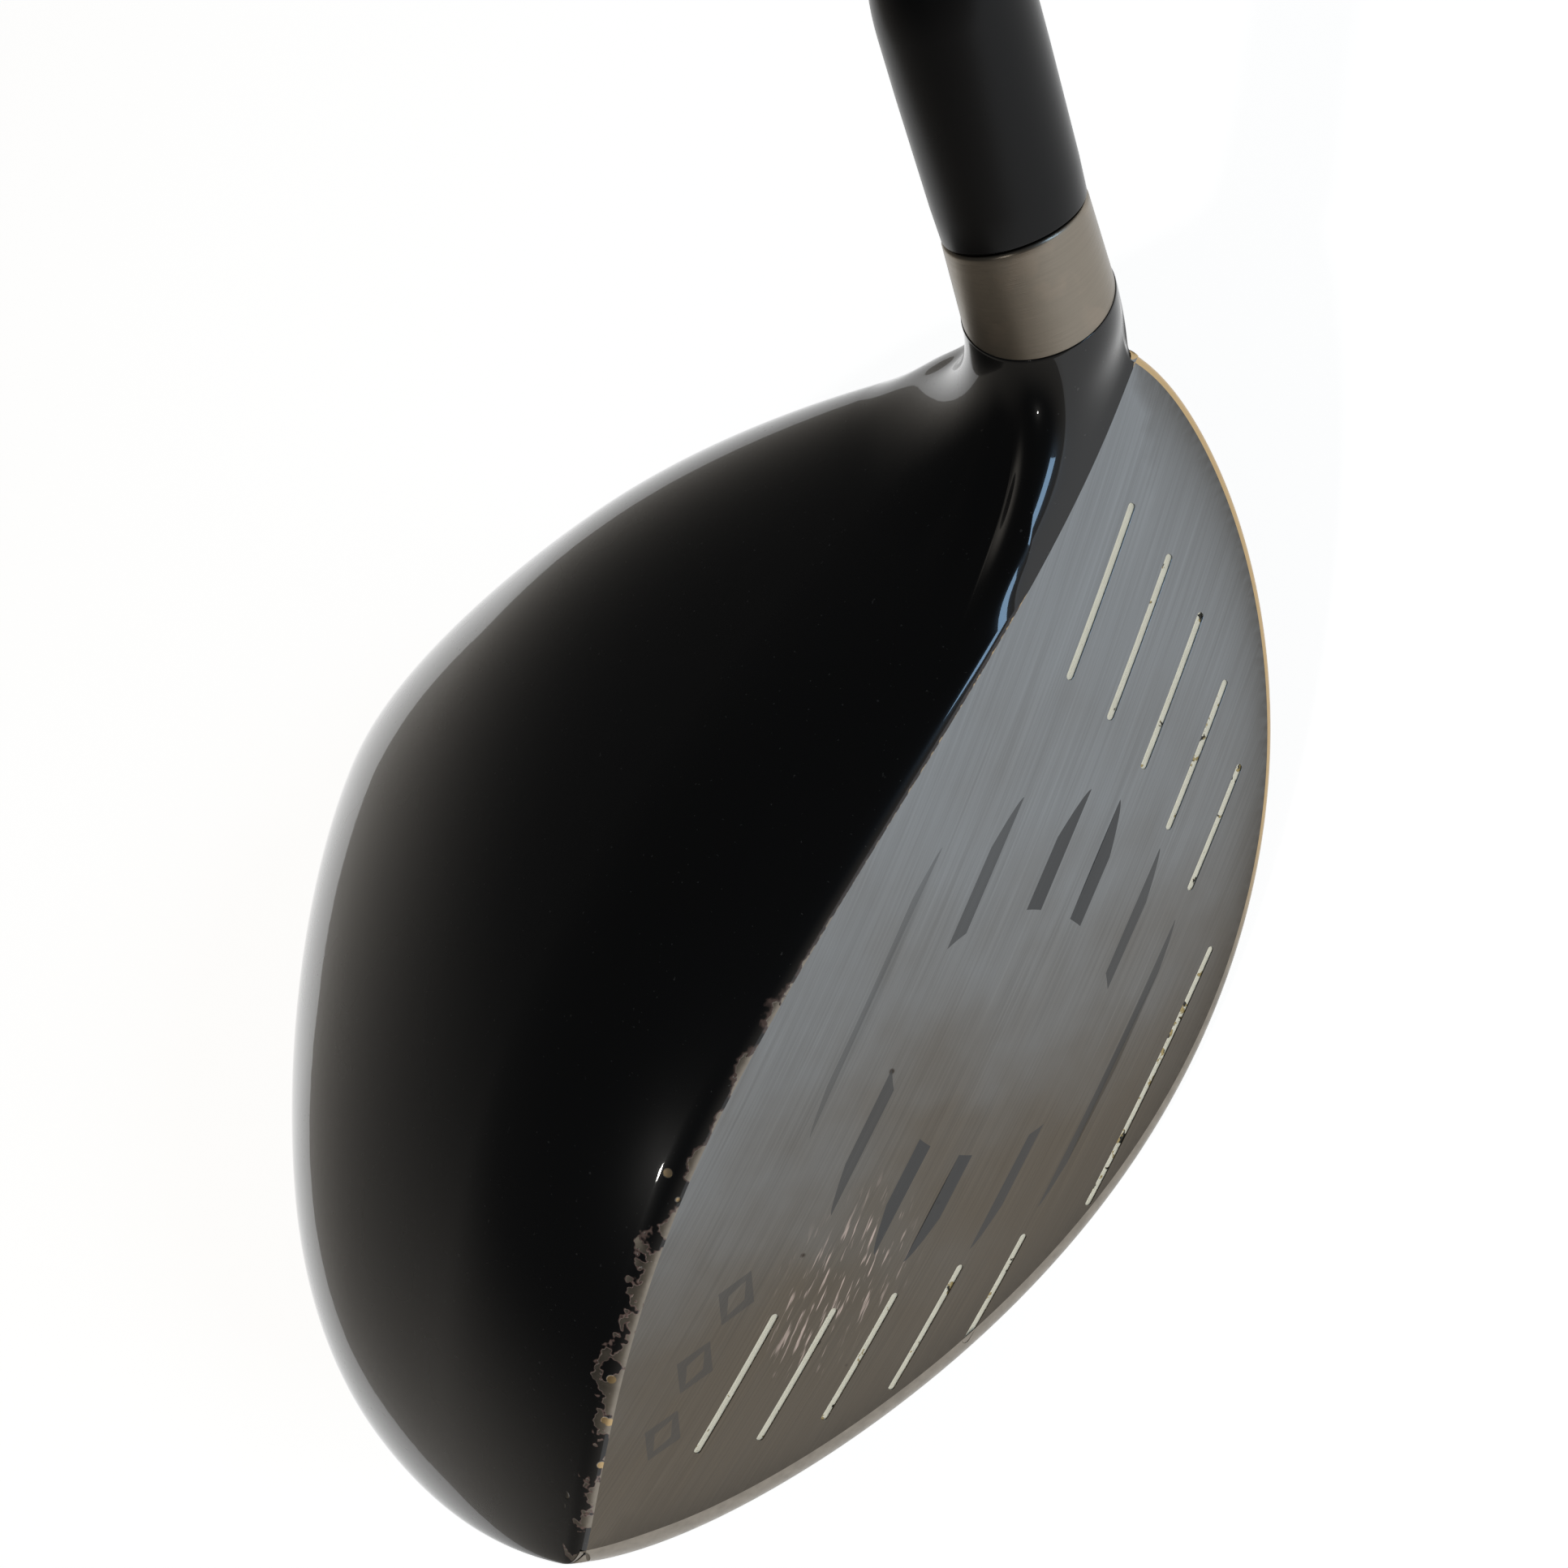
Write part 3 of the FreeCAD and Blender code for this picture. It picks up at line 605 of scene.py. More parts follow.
@dataclass(frozen=True)
class BareRing:
    """Warm bare titanium, polished round the hosel."""

    name: str = "bare_ring"
    colour: Colour = (0.255, 0.225, 0.185)

    def make(self) -> bpy.types.Material:
        """The material: fine streaks that run round the ring."""
        mix = Recipe(self.name)
        streak = mix.noise(1.0, 3.0, 0.6, Space.WRAP, (7.0, 5.0, 0.0))
        fine = mix.noise(1.0, 2.0, 0.6, Space.WRAP, (14.0, 22.0, 0.0))
        stain = mix.noise(260.0, 3.0)
        colour = mix.blend(mix.span(streak, 0.0, 0.45), self.colour, shaded(self.colour, 0.7))
        colour = mix.blend(mix.times(mix.step(stain, 0.58, 0.70), 0.35), colour, (0.30, 0.25, 0.20))
        mix.set(Base_Color=colour, Metallic=1.0, Roughness=mix.span(streak, 0.24, 0.40),
                Normal=mix.relief(fine, 0.012, 0.7))
        return mix.material


@dataclass(frozen=True)
class Fill:
    """Cream paint laid in the score lines by hand, chipped down to the metal in places."""

    name: str = "score_fill"
    colour: Colour = (0.96, 0.89, 0.70)

    def make(self) -> bpy.types.Material:
        """The material: lumpy paint with gold and black spots where it is gone."""
        mix = Recipe(self.name)
        lump = mix.noise(900.0, 3.0)
        gone = mix.trait("wear")
        level = mix.plus(mix.noise(700.0, 3.0, 0.65), mix.times(gone, 0.17))
        chips_and_glints = mix.step(level, 0.66, 0.70)
        dark = mix.step(mix.noise(1100.0, 2.0), 0.50, 0.56)
        under = mix.blend(dark, (0.45, 0.34, 0.14), (0.02, 0.018, 0.012))
        colour = mix.blend(mix.span(lump, 0.0, 0.5), self.colour, (0.82, 0.72, 0.50))
        mix.set(Base_Color=mix.blend(chips_and_glints, colour, under), Metallic=mix.times(chips_and_glints, 0.5),
                Roughness=mix.span(lump, 0.35, 0.6), IOR=1.48,
                Normal=mix.relief(mix.sums("SUBTRACT", lump, chips_and_glints), 0.05, 0.8))
        return mix.material


@dataclass(frozen=True)
class Moulded:
    """Plastic, rubber, film, adhesive or cast metal: one colour with a grain and some wear."""

    name: str
    colour: Colour
    roughness: float
    grain: float = 600.0
    depth: float = 0.02
    metallic: float = 0.0
    coat: float = 0.0
    turned: bool = False
    fleck: float = 0.0
    fleck_colour: Colour = (0.30, 0.31, 0.33)
    shine: float = 0.5

    def make(self) -> bpy.types.Material:
        """The material: grain in the relief, and slow changes in colour and roughness."""
        mix = Recipe(self.name)
        slow, grain = mix.noise(60.0, 3.0), mix.noise(self.grain, 3.0, 0.6)
        if self.turned:
            grain = mix.noise(1.0, 2.0, 0.6, Space.WRAP, (3.0, 16.0, 0.0))
        colour = mix.blend(mix.span(slow, 0.0, 0.6), self.colour, shaded(self.colour, 0.7))
        colour = mix.blend(mix.span(grain, 0.0, 0.25), colour, shaded(self.colour, 1.8))
        if self.fleck:
            spot, _ = mix.cells(2400.0, stretch=(1.0, 1.0, 0.35))
            shown = mix.times(mix.step(spot, 0.25, 0.1), self.fleck)
            colour = mix.blend(shown, colour, self.fleck_colour)
        low, high = self.roughness * 0.85, min(self.roughness * 1.2, 1.0)
        skin = mix.relief(grain, self.depth, 0.6)
        mix.set(Base_Color=colour, Metallic=self.metallic, Roughness=mix.span(slow, low, high),
                Normal=skin, Coat_Weight=self.coat, Coat_Roughness=0.04, Specular_IOR_Level=self.shine)
        return mix.material


class Finish(Enum):
    """The finishes by the name of the record's material slot."""

    body_paint = Lacquer("body_lacquer", chipped=True)
    crown_paint = Lacquer("crown_lacquer")
    neck_paint = Lacquer("neck_lacquer")
    face_titanium = BrushedFace()
    score_paint = Fill()
    hosel_titanium = BareRing()
    ferrule_plastic = Moulded("ferrule_black", (0.003, 0.003, 0.0033), 0.27, depth=0.003, turned=True,
                              shine=0.22)
    shaft_graphite = Moulded("graphite_black", (0.012, 0.012, 0.014), 0.30, coat=1.0, fleck=0.5,
                             depth=0.004)
    band = Moulded("band_film", (0.30, 0.31, 0.33), 0.32, depth=0.004, coat=0.6)
    grip_rubber = Moulded("grip_rubber", (0.022, 0.022, 0.022), 0.72, grain=1400.0, depth=0.03)
    cap_rubber = Moulded("cap_rubber", (0.026, 0.026, 0.026), 0.66, grain=900.0, depth=0.02)
    badge = Moulded("badge_satin", (0.42, 0.42, 0.43), 0.34, metallic=1.0, grain=1500.0, depth=0.006)
    plug = Moulded("plug_nylon", (0.05, 0.05, 0.05), 0.5)
    epoxy = Moulded("cured_epoxy", (0.45, 0.40, 0.26), 0.3)
    tungsten_pin = Moulded("turned_tungsten", (0.33, 0.33, 0.34), 0.35, metallic=1.0)
    raw_titanium = Moulded("cast_titanium", (0.40, 0.39, 0.37), 0.5, metallic=1.0, depth=0.05)
    hot_melt = Moulded("hot_melt", (0.70, 0.62, 0.40), 0.4)
    tape = Moulded("paper_tape", (0.68, 0.64, 0.52), 0.85, grain=900.0)

    def material(self) -> bpy.types.Material:
        """The finish's material, made once."""
        return bpy.data.materials.get(self.value.name) or self.value.make()


def settle(mesh: PieceMesh, name: str, finish: Finish, node: str, crease: float | None = None) -> None:
    """Builds a piece and puts it on the club's body.

    Args:
        mesh: what the piece is made of.
        name: the piece's name.
        finish: the material it wears.
        node: the CAD node that it stands for.
        crease: angle past which an edge stays sharp, where no normals were given.
    """
    piece = mesh.build(name, finish.material(), crease)
    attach(piece, "root")
    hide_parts(node)
    LOG.info("%s: %d faces", piece.name, len(piece.data.polygons))


# ---- the club's main lines -----------------------------------------------------------------


@dataclass(frozen=True)
class ShaftLine:
    """The shaft's axis, with distances along it from the top of the hosel."""

    start: Array
    along: Array
    butt: float

    @classmethod
    def from_frame(cls, ring_top_radius: float) -> "ShaftLine":
        """Reads the axis from the vent's mount, and the hosel's top from its box.

        Args:
            ring_top_radius: the hosel's radius at its top.

        Returns:
            The line; butt is where the grip's cap begins.
        """
        vent = next(m for m in frame["record"]["mounts"] if m["name"] == "vent_hole")
        along = unit(np.array(vent["axis"], float))
        middle = np.array(vent["pos_m"], float) / MM
        top_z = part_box("hosel")[1].z / MM - ring_top_radius * along[0]
        start = middle - along * (middle[2] - top_z) / along[2]
        cap = float((middle - start) @ along) - vent["dims"]["length_mm"] / 2
        return cls(start, along, cap)

    def at(self, s: Array, radius: Array, turn: Array) -> Array:
        """Points at a distance along the axis, a radius and a turn round it.

        The turn is 0 towards the heel, a quarter circle towards the rear, and a half circle
        towards the toe:  start + along s + radius (cos(turn) across + sin(turn) back).
        """
        back = np.array([0.0, 1.0, 0.0])
        across = np.cross(back, self.along)
        s, radius, turn = np.broadcast_arrays(s, radius, turn)
        spoke = np.cos(turn)[..., None] * across + np.sin(turn)[..., None] * back
        return self.start + self.along * s[..., None] + spoke * radius[..., None]

    def turn_of(self, points: Array) -> Array:
        """The turn of each point round the axis."""
        across = np.cross([0.0, 1.0, 0.0], self.along)
        away = points - self.start
        return np.arctan2(away[..., 1], away @ across)


@dataclass(frozen=True)
class HeadForm:
    """Outer form of the head: sections across it, each at a distance y behind the face's centre.

    The turn round a section is 0 on the crown's ridge, a quarter circle at the heel, a half
    circle on the sole and three quarters at the toe.
    """

    face_y: float = -30.0
    face_z: float = 28.3
    loft: float = np.radians(10.5)
    bulge: float = 300.0
    depth: float = 96.6
    toe_reach: float = 59.0
    heel_reach: float = 68.8
    crown_top: float = 59.6
    crown_front: float = 47.2
    crown_peak: float = 25.5
    skirt_front: float = 42.2
    skirt_rear: float = 32.0
    lead_rise: float = 2.4
    rest_cut: float = 0.3
    sole_low: float = 30.0
    toe_widest: float = 41.0
    heel_widest: float = 2.0
    toe_loss: float = 0.28
    heel_loss: float = 0.0
    toe_taper: float = 0.75
    heel_taper: float = 0.82
    middle_front: float = -10.0
    middle_rear: float = -8.0
    keel_shift: float = 15.0
    keel_length: float = 75.0
    shoulder: float = 62.0
    front_share: float = 0.05
    heel_power: float = 4.3
    toe_power: float = 2.5
    tip_turn: float = np.radians(88.0)
    tip_width: float = np.radians(15.0)
    tip_reach: float = 2.2
    tip_length: float = 12.0
    front_between: tuple[float, float] = (-11.0, 25.0)

    def narrowing(self, y: Array, widest: float, loss: float, taper: float) -> Array:
        """(1 - back^2)^taper (1 - loss front^2), with back and front counted from the widest."""
        back = np.clip((y - widest) / (self.depth - widest), 0.0, 1.0)
        front = np.maximum((widest - y) / widest, 0.0)
        return (1.0 - back ** 2) ** taper * (1.0 - loss * front ** 2)

    def heights(self, y: Array) -> tuple[Array, Array, Array]:
        """Heights of the skirt, the crown's ridge and the sole at a distance behind the face.

        Each of the last two is an elliptic arc behind its own peak, and a power curve ahead of it.
        """
        skirt = self.skirt_front + (self.skirt_rear - self.skirt_front) * np.clip(y / self.depth, 0, 1)
        back = np.clip((y - self.crown_peak) / (self.depth - self.crown_peak), 0.0, 1.0)
        ahead = np.maximum((self.crown_peak - y) / self.crown_peak, 0.0)
        crown = skirt + (self.crown_top - skirt) * np.sqrt(1 - back ** 2) \
            - (self.crown_top - self.crown_front) * ahead ** 2.2
        back = np.clip((y - self.sole_low) / (self.depth - self.sole_low), 0.0, 1.0)
        ahead = np.maximum((self.sole_low - y) / self.sole_low, 0.0)
        sole = skirt * (1 - np.sqrt(1 - back ** 2)) + self.lead_rise * ahead ** 2 - self.rest_cut
        return skirt, crown, sole

    def at(self, y: Array, turn: Array) -> Array:
        """Points of the form.

        x = middle + (side - middle) |sin|^curl, and z = skirt + height (share |cos|^curl +
        (1 - share) |cos|^power), with its own numbers in each quarter of the section.  A bell
        over the turns draws the heel's end out to a point beside the neck.

        Args:
            y: distance behind the face's centre.
            turn: angle round the section.

        Returns:
            points x 3, in millimetres.
        """
        y, turn = np.broadcast_arrays(np.asarray(y, float), np.asarray(turn, float))
        skirt, crown, sole = self.heights(y)
        share = np.clip(y / self.depth, 0.0, 1.0)
        middle = self.middle_front + (self.middle_rear - self.middle_front) * share ** 2
        behind = smooth(y / self.shoulder)
        keel = middle + self.keel_shift * (1.0 - smooth(y / self.keel_length))
        toe = middle - self.toe_reach * self.narrowing(y, self.toe_widest, self.toe_loss, self.toe_taper)
        heel = middle + self.heel_reach * self.narrowing(y, self.heel_widest, self.heel_loss,
                                                         self.heel_taper)
        up, across = np.cos(turn), np.sin(turn)
        high, heelward = up >= 0, across >= 0
        centre = np.where(high, middle, keel)
        side = np.where(heelward, heel, toe)
        rise = np.where(high, crown - skirt, sole - skirt)
        part = np.where(high, self.front_share + (1.0 - self.front_share) * behind, 0.75 + 0.25 * behind)
        power = np.where(high, np.where(heelward, self.heel_power, self.toe_power), 2.0)
        curl = np.where(high, 1.0, 1.0 - 0.2 * behind)
        up, across = np.abs(up), np.abs(across)
        x = centre + (side - centre) * across ** curl
        z = skirt + rise * (part * up ** curl + (1.0 - part) * up ** power)
        off = (np.mod(turn - self.tip_turn + np.pi, 2 * np.pi) - np.pi) / self.tip_width
        x = x + self.tip_reach * np.exp(-off ** 2) * (1.0 - smooth(y / self.tip_length))
        return np.stack([x, y + self.face_y, np.maximum(z, 0.0)], axis=-1)

    @property
    def normal(self) -> Array:
        """The way the face's centre looks."""
        return np.array([0.0, -np.cos(self.loft), np.sin(self.loft)])

    @property
    def up(self) -> Array:
        """Up the face."""
        return np.array([0.0, np.sin(self.loft), np.cos(self.loft)])

    @property
    def ball(self) -> Array:
        """Centre of the sphere that the face lies on."""
        return np.array([0.0, self.face_y, self.face_z]) - self.normal * self.bulge

    def on_face(self, spots: Array, sink: Array | float = 0.0) -> Array:
        """Points on the face at (heelward, upward) distances, sunk along its normal.

        centre of the sphere + x u + up v + normal sqrt(R^2 - u^2 - v^2), moved in by `sink`.
        """
        u, v = spots[..., 0:1], spots[..., 1:2]
        reach = np.sqrt(self.bulge ** 2 - u ** 2 - v ** 2)
        away = np.array([1.0, 0.0, 0.0]) * u + self.up * v + self.normal * reach
        return self.ball + away * (1.0 - np.asarray(sink)[..., None] / self.bulge)

    def face_spots(self, points: Array) -> Array:
        """(Heelward, upward) distances of points from the face's centre."""
        away = points - self.ball
        return np.stack([away[..., 0], away @ self.up], axis=-1)

    def front(self, turn: Array) -> Array:
        """The y at which each turn's line meets the sphere of the face, by halving an interval."""
        low, high = (np.full(np.shape(turn), y) for y in self.front_between)
        for _ in range(40):
            mid = (low + high) / 2
            ahead = np.linalg.norm(self.at(mid, turn) - self.ball, axis=-1) > self.bulge
            low, high = np.where(ahead, mid, low), np.where(ahead, high, mid)
        return (low + high) / 2


@dataclass(frozen=True)
class HeadSkin:
    """The form's skin and the rounded edge that carries it on to the face.

    A place on it is a turn and a step: the step is 1 at the rear, 0 where the skin ends and
    -1 where the face begins.
    """

    form: HeadForm
    top_back: float = 1.5
    top_lap: float = 1.0
    sole_back: float = 1.6
    sole_lap: float = 2.6
    heel_lap: float = 1.1

    def on_sole(self, turn: Array) -> Array:
        """0 on the crown side of the edge and 1 on the sole side."""
        return smooth(0.5 - np.cos(turn) / 0.5)

    def lap(self, turn: Array) -> Array:
        """How far the rounded edge reaches on to the face."""
        low = self.sole_lap + (self.heel_lap - self.sole_lap) * smooth(0.5 + np.sin(turn) * 0.8)
        return self.top_lap + (low - self.top_lap) * self.on_sole(turn)

    def start(self, turn: Array) -> Array:
        """The y at which the skin ends and the rounded edge begins."""
        back = self.top_back + (self.sole_back - self.top_back) * self.on_sole(turn)
        return self.form.front(turn) + back

    def outline(self, turn: Array) -> Array:
        """Where the form's line would meet the face, as (heelward, upward) distances."""
        return self.form.face_spots(self.form.at(self.form.front(turn), turn))

    def face_edge(self, turn: Array) -> Array:
        """The same, moved inwards by the lap, square to the outline."""
        small = 0.004
        along = unit(self.outline(turn + small) - self.outline(turn - small))
        inward = np.stack([-along[..., 1], along[..., 0]], axis=-1)
        spots = self.outline(turn)
        inward *= -np.sign((inward * spots).sum(axis=-1, keepdims=True))
        return spots + inward * self.lap(turn)[..., None]

    def at(self, turn: Array, step: Array) -> Array:
        """Points of the skin and of its rounded edge.

        Behind step 0 the y grows as sin(step * 90 degrees).  Ahead of it the points follow the
        curve (1-t)^2 A + 2t(1-t) C + t^2 B from the skin A, past the corner C, to the face B.
        """
        begin = self.start(turn)
        y = begin + (self.form.depth - begin) * np.sin(np.clip(step, 0, 1) * np.pi / 2)
        skin = self.form.at(y, turn)
        t = np.clip(-step, 0.0, 1.0)[..., None]
        corner = self.form.on_face(self.outline(turn))
        face = self.form.on_face(self.face_edge(turn))
        edge = (1 - t) ** 2 * skin + 2 * t * (1 - t) * corner + t ** 2 * face
        return np.where(t > 0, edge, skin)

    def normal(self, turn: Array, step: Array) -> Array:
        """Outward normals, from central differences of the points."""
        small = 0.003
        low, high = np.clip(step - small, -1, 1), np.clip(step + small, -1, 1)
        round_it = self.at(turn + small, step) - self.at(turn - small, step)
        back = self.at(turn, high) - self.at(turn, low)
        return unit(np.cross(round_it, back))


# ---- the head ------------------------------------------------------------------------------


@dataclass(frozen=True)
class NeckFoot:
    """The closed line on the skin that the neck lands on: an oval that leans towards the heel.

    Its distance behind the face's edge is centre + reach sin(spin), and ahead of the edge it
    runs over the rounded edge on to the face's rim.
    """

    skin: HeadSkin
    middle: float = np.radians(61.0)
    half_turn: float = np.radians(36.0)
    lean: float = np.radians(16.0)
    lean_length: float = 10.0
    centre: float = 8.0
    back: float = 18.0
    ahead: float = 13.0
    edge_steep: float = 0.3

    def middle_at(self, far: Array) -> Array:
        """Turn of the oval's middle line at a distance behind the edge."""
        return self.middle + self.lean * smooth(far / self.lean_length)

    def place(self, spin: Array) -> tuple[Array, Array]:
        """Turn and step of the line."""
        reach = np.where(np.sin(spin) >= 0, self.back, self.ahead)
        far = self.centre + reach * np.sin(spin)
        turn = self.middle_at(far) + self.half_turn * np.cos(spin)
        length = self.skin.form.depth - self.skin.start(turn)
        behind = np.arcsin(np.maximum(far, 0.0) / length) * 2 / np.pi
        return turn, np.where(far >= 0, behind, np.maximum(far * self.edge_steep, -1.0))

    def covers(self, turn: Array, step: Array, shrink: float = 0.97) -> Array:
        """Whether places on the skin lie inside the line."""
        turn = np.mod(turn, 2 * np.pi)
        length = self.skin.form.depth - self.skin.start(turn)
        behind = length * np.sin(np.maximum(step, 0.0) * np.pi / 2)
        far = np.where(step >= 0, behind, step / self.edge_steep)
        across = (turn - self.middle_at(far)) / self.half_turn
        reach = np.where(far >= self.centre, self.back, self.ahead)
        return np.hypot(across, (far - self.centre) / reach) < shrink


@dataclass(frozen=True)
class Head:
    """Crown, body, neck and bare ring."""

    line: ShaftLine
    skin: HeadSkin
    columns: int = 480
    edge_rows: int = 9
    rows: int = 150
    crown_start: float = 0.05
    crown_turn: float = np.radians(78.0)
    ring_top: float = 5.95
    ring_flare: float = 0.045
    ring_length: float = 7.5
    ring_slant: float = 1.7
    low_side: float = np.radians(235.0)
    lip: float = 0.10
    neck_rows: int = 64
    rest: float = 0.03
    bore: float = 4.3
    bevel: float = 0.25
    paint_edge: tuple[float, float] = (0.02, 0.90)
    wear_start: tuple[float, float] = (8.0, 12.0)
    wear_more: tuple[float, float] = (-14.0, 16.0)
    wear_least: float = 0.35

    @property
    def foot(self) -> NeckFoot:
        """The neck's landing line."""
        return NeckFoot(self.skin)

    def make_skin(self) -> None:
        """The crown and the body: one grid of turns and steps, shared between two pieces."""
        turn = turns(self.columns)[None, :]
        step = np.concatenate([np.linspace(-1, 0, self.edge_rows)[:-1],
                               np.linspace(0, 1, self.rows)])[:, None]
        points = self.skin.at(turn, step)
        points[-1] = points[-1].mean(axis=0)
        normals = self.skin.normal(turn, step)
        normals[-1] = [0.0, 1.0, 0.0]
        flat = points[..., 2] < 1e-6
        normals[flat] = [0.0, 0.0, -1.0]
        mid_turn = turn + np.pi / self.columns
        mid_step = (step[1:] + step[:-1]) / 2
        shown = ~self.foot.covers(mid_turn, mid_step)
        wrapped = np.abs(np.mod(mid_turn + np.pi, 2 * np.pi) - np.pi)
        on_crown = (wrapped < self.crown_turn) & (mid_step > self.crown_start)
        traits = self.edge_traits(turn, step, points)
        for name, finish, node, part in (("crown", Finish.crown_paint, "crown_plate", on_crown),
                                         ("body", Finish.body_paint, "body_casting", ~on_crown)):
            mesh = PieceMesh()
            mesh.add_grid(points, pole=True, keep=shown & part, normals=normals, traits=traits)
            settle(mesh, name, finish, node)

    def edge_traits(self, turn: Array, step: Array, points: Array) -> dict[str, Array]:
        """How far each point is past the paint's edge, and how worn the edge is there.

        Args:
            turn: one row of turns.
            step: one column of steps.
            points: the grid.

        Returns:
            past_edge, in millimetres along each turn's line, and wear from 0 to 1.
        """
        legs = np.linalg.norm(np.diff(points, axis=0), axis=-1)
        far = np.concatenate([np.zeros((1, points.shape[1])), np.cumsum(legs, axis=0)])
        from_face = far[:self.edge_rows][-1]
        sole = self.skin.on_sole(turn)
        paint_line = from_face * (self.paint_edge[0] + self.paint_edge[1] * sole)
        starts, grows = (smooth((x - points[:1, :, 0]) / over)
                         for x, over in (self.wear_start, self.wear_more))
        wear = (1.0 - sole) * starts * (self.wear_least + (1.0 - self.wear_least) * grows)
        return {"past_edge": paint_line - far, "wear": np.broadcast_to(wear, far.shape)}

    def ring_end(self, turn: Array) -> Array:
        """Where the paint begins, along the axis: a line that hangs lower on one side."""
        return -self.ring_length - self.ring_slant * np.cos(turn - self.low_side)

    def ring_radius(self, s: Array) -> Array:
        """Radius of the ring's cone."""
        return self.ring_top - self.ring_flare * s

    def make_ring(self) -> None:
        """The bare ring, from a small bevel at its top to just under the paint."""
        turn = turns(160)[None, :]
        share = np.linspace(0, 1, 28)[:, None]
        end = self.ring_end(turn) - 0.4
        s = share * end
        points = self.line.at(s, self.ring_radius(s), turn)
        radii = np.array([[self.bore], [self.ring_top - self.bevel], [self.ring_top - 0.04]])
        top = self.line.at(np.array([[0.0], [0.0], [-0.12]]), radii, turn)
        points = np.concatenate([top, points[1:]])
        mesh = PieceMesh()
        lengths = np.linalg.norm(np.diff(points, axis=0), axis=-1).mean(axis=1)
        mesh.add_grid(points, lengths=np.concatenate([[0], np.cumsum(lengths)]))
        settle(mesh, "bare_ring", Finish.hosel_titanium, "hosel", np.radians(50))

    def make_neck(self) -> None:
        """The painted neck: a hollow sweep from the ring down to its landing line.

        Each column is the cubic curve with one handle down the ring and the other flat on the
        skin, so that it leaves one and meets the other without a crease.  The second handle is
        gap / 2 times the square of the cosine between the column's way and the skin.
        """
        spin = turns(360)
        turn, step = self.foot.place(spin)
        low, normal = self.skin.at(turn, step), self.skin.normal(turn, step)
        round_it = self.line.turn_of(low)
        s = self.ring_end(round_it)
        radius = self.ring_radius(s) + self.lip
        high = self.line.at(s - 0.25, radius, round_it)
        away = low - high
        gap = np.linalg.norm(away, axis=-1, keepdims=True)
        flat = away - normal * (away * normal).sum(axis=-1, keepdims=True)
        reach = (flat ** 2).sum(axis=-1, keepdims=True) / gap * 0.5
        flat = unit(flat)
        fall = unit(self.line.at(s - 1.0, radius + 0.06, round_it) - self.line.at(s, radius, round_it))
        low = low + normal * self.rest
        t = np.linspace(0, 1, self.neck_rows)[:, None, None]
        curve = (1 - t) ** 3 * high + 3 * t * (1 - t) ** 2 * (high + fall * gap * 0.42) \
            + 3 * t ** 2 * (1 - t) * (low - flat * reach) + t ** 3 * low
        lip = self.line.at(s[None] + np.array([[0.05], [0.03], [-0.06]]),
                           radius[None] - np.array([[0.16], [0.05], [0.01]]), round_it[None])
        under = (low + flat * 0.1 - normal * 0.3)[None]
        points = np.concatenate([lip, curve, under])
        normals = self.outward(points, grid_normals(points))
        near = smooth((np.concatenate([[0.0] * len(lip), t.ravel(), [1.0]]) - 0.80) / 0.2)[:, None, None]
        normals = unit(normals * (1.0 - near) + normal * near)
        mesh = PieceMesh()
        mesh.add_grid(points, normals=normals)
        settle(mesh, "neck", Finish.neck_paint, "hosel")

    def outward(self, points: Array, normals: Array) -> Array:
        """Normals turned away from the shaft's axis."""
        away = points - self.line.start
        away = away - self.line.along * (away @ self.line.along)[..., None]
        side = np.sign((away * normals).sum(axis=-1).mean())
        return normals * side


# ---- the face ------------------------------------------------------------------------------


@dataclass(frozen=True)
class Oval:
    """An oval in the face's plane that the etched strokes end on."""

    half_width: float
    half_height: float

    def reach(self, v: Array) -> Array:
        """Half the oval's width at a height v, or 0 above and below it."""
        return self.half_width * np.sqrt(np.maximum(1.0 - (v / self.half_height) ** 2, 0.0))


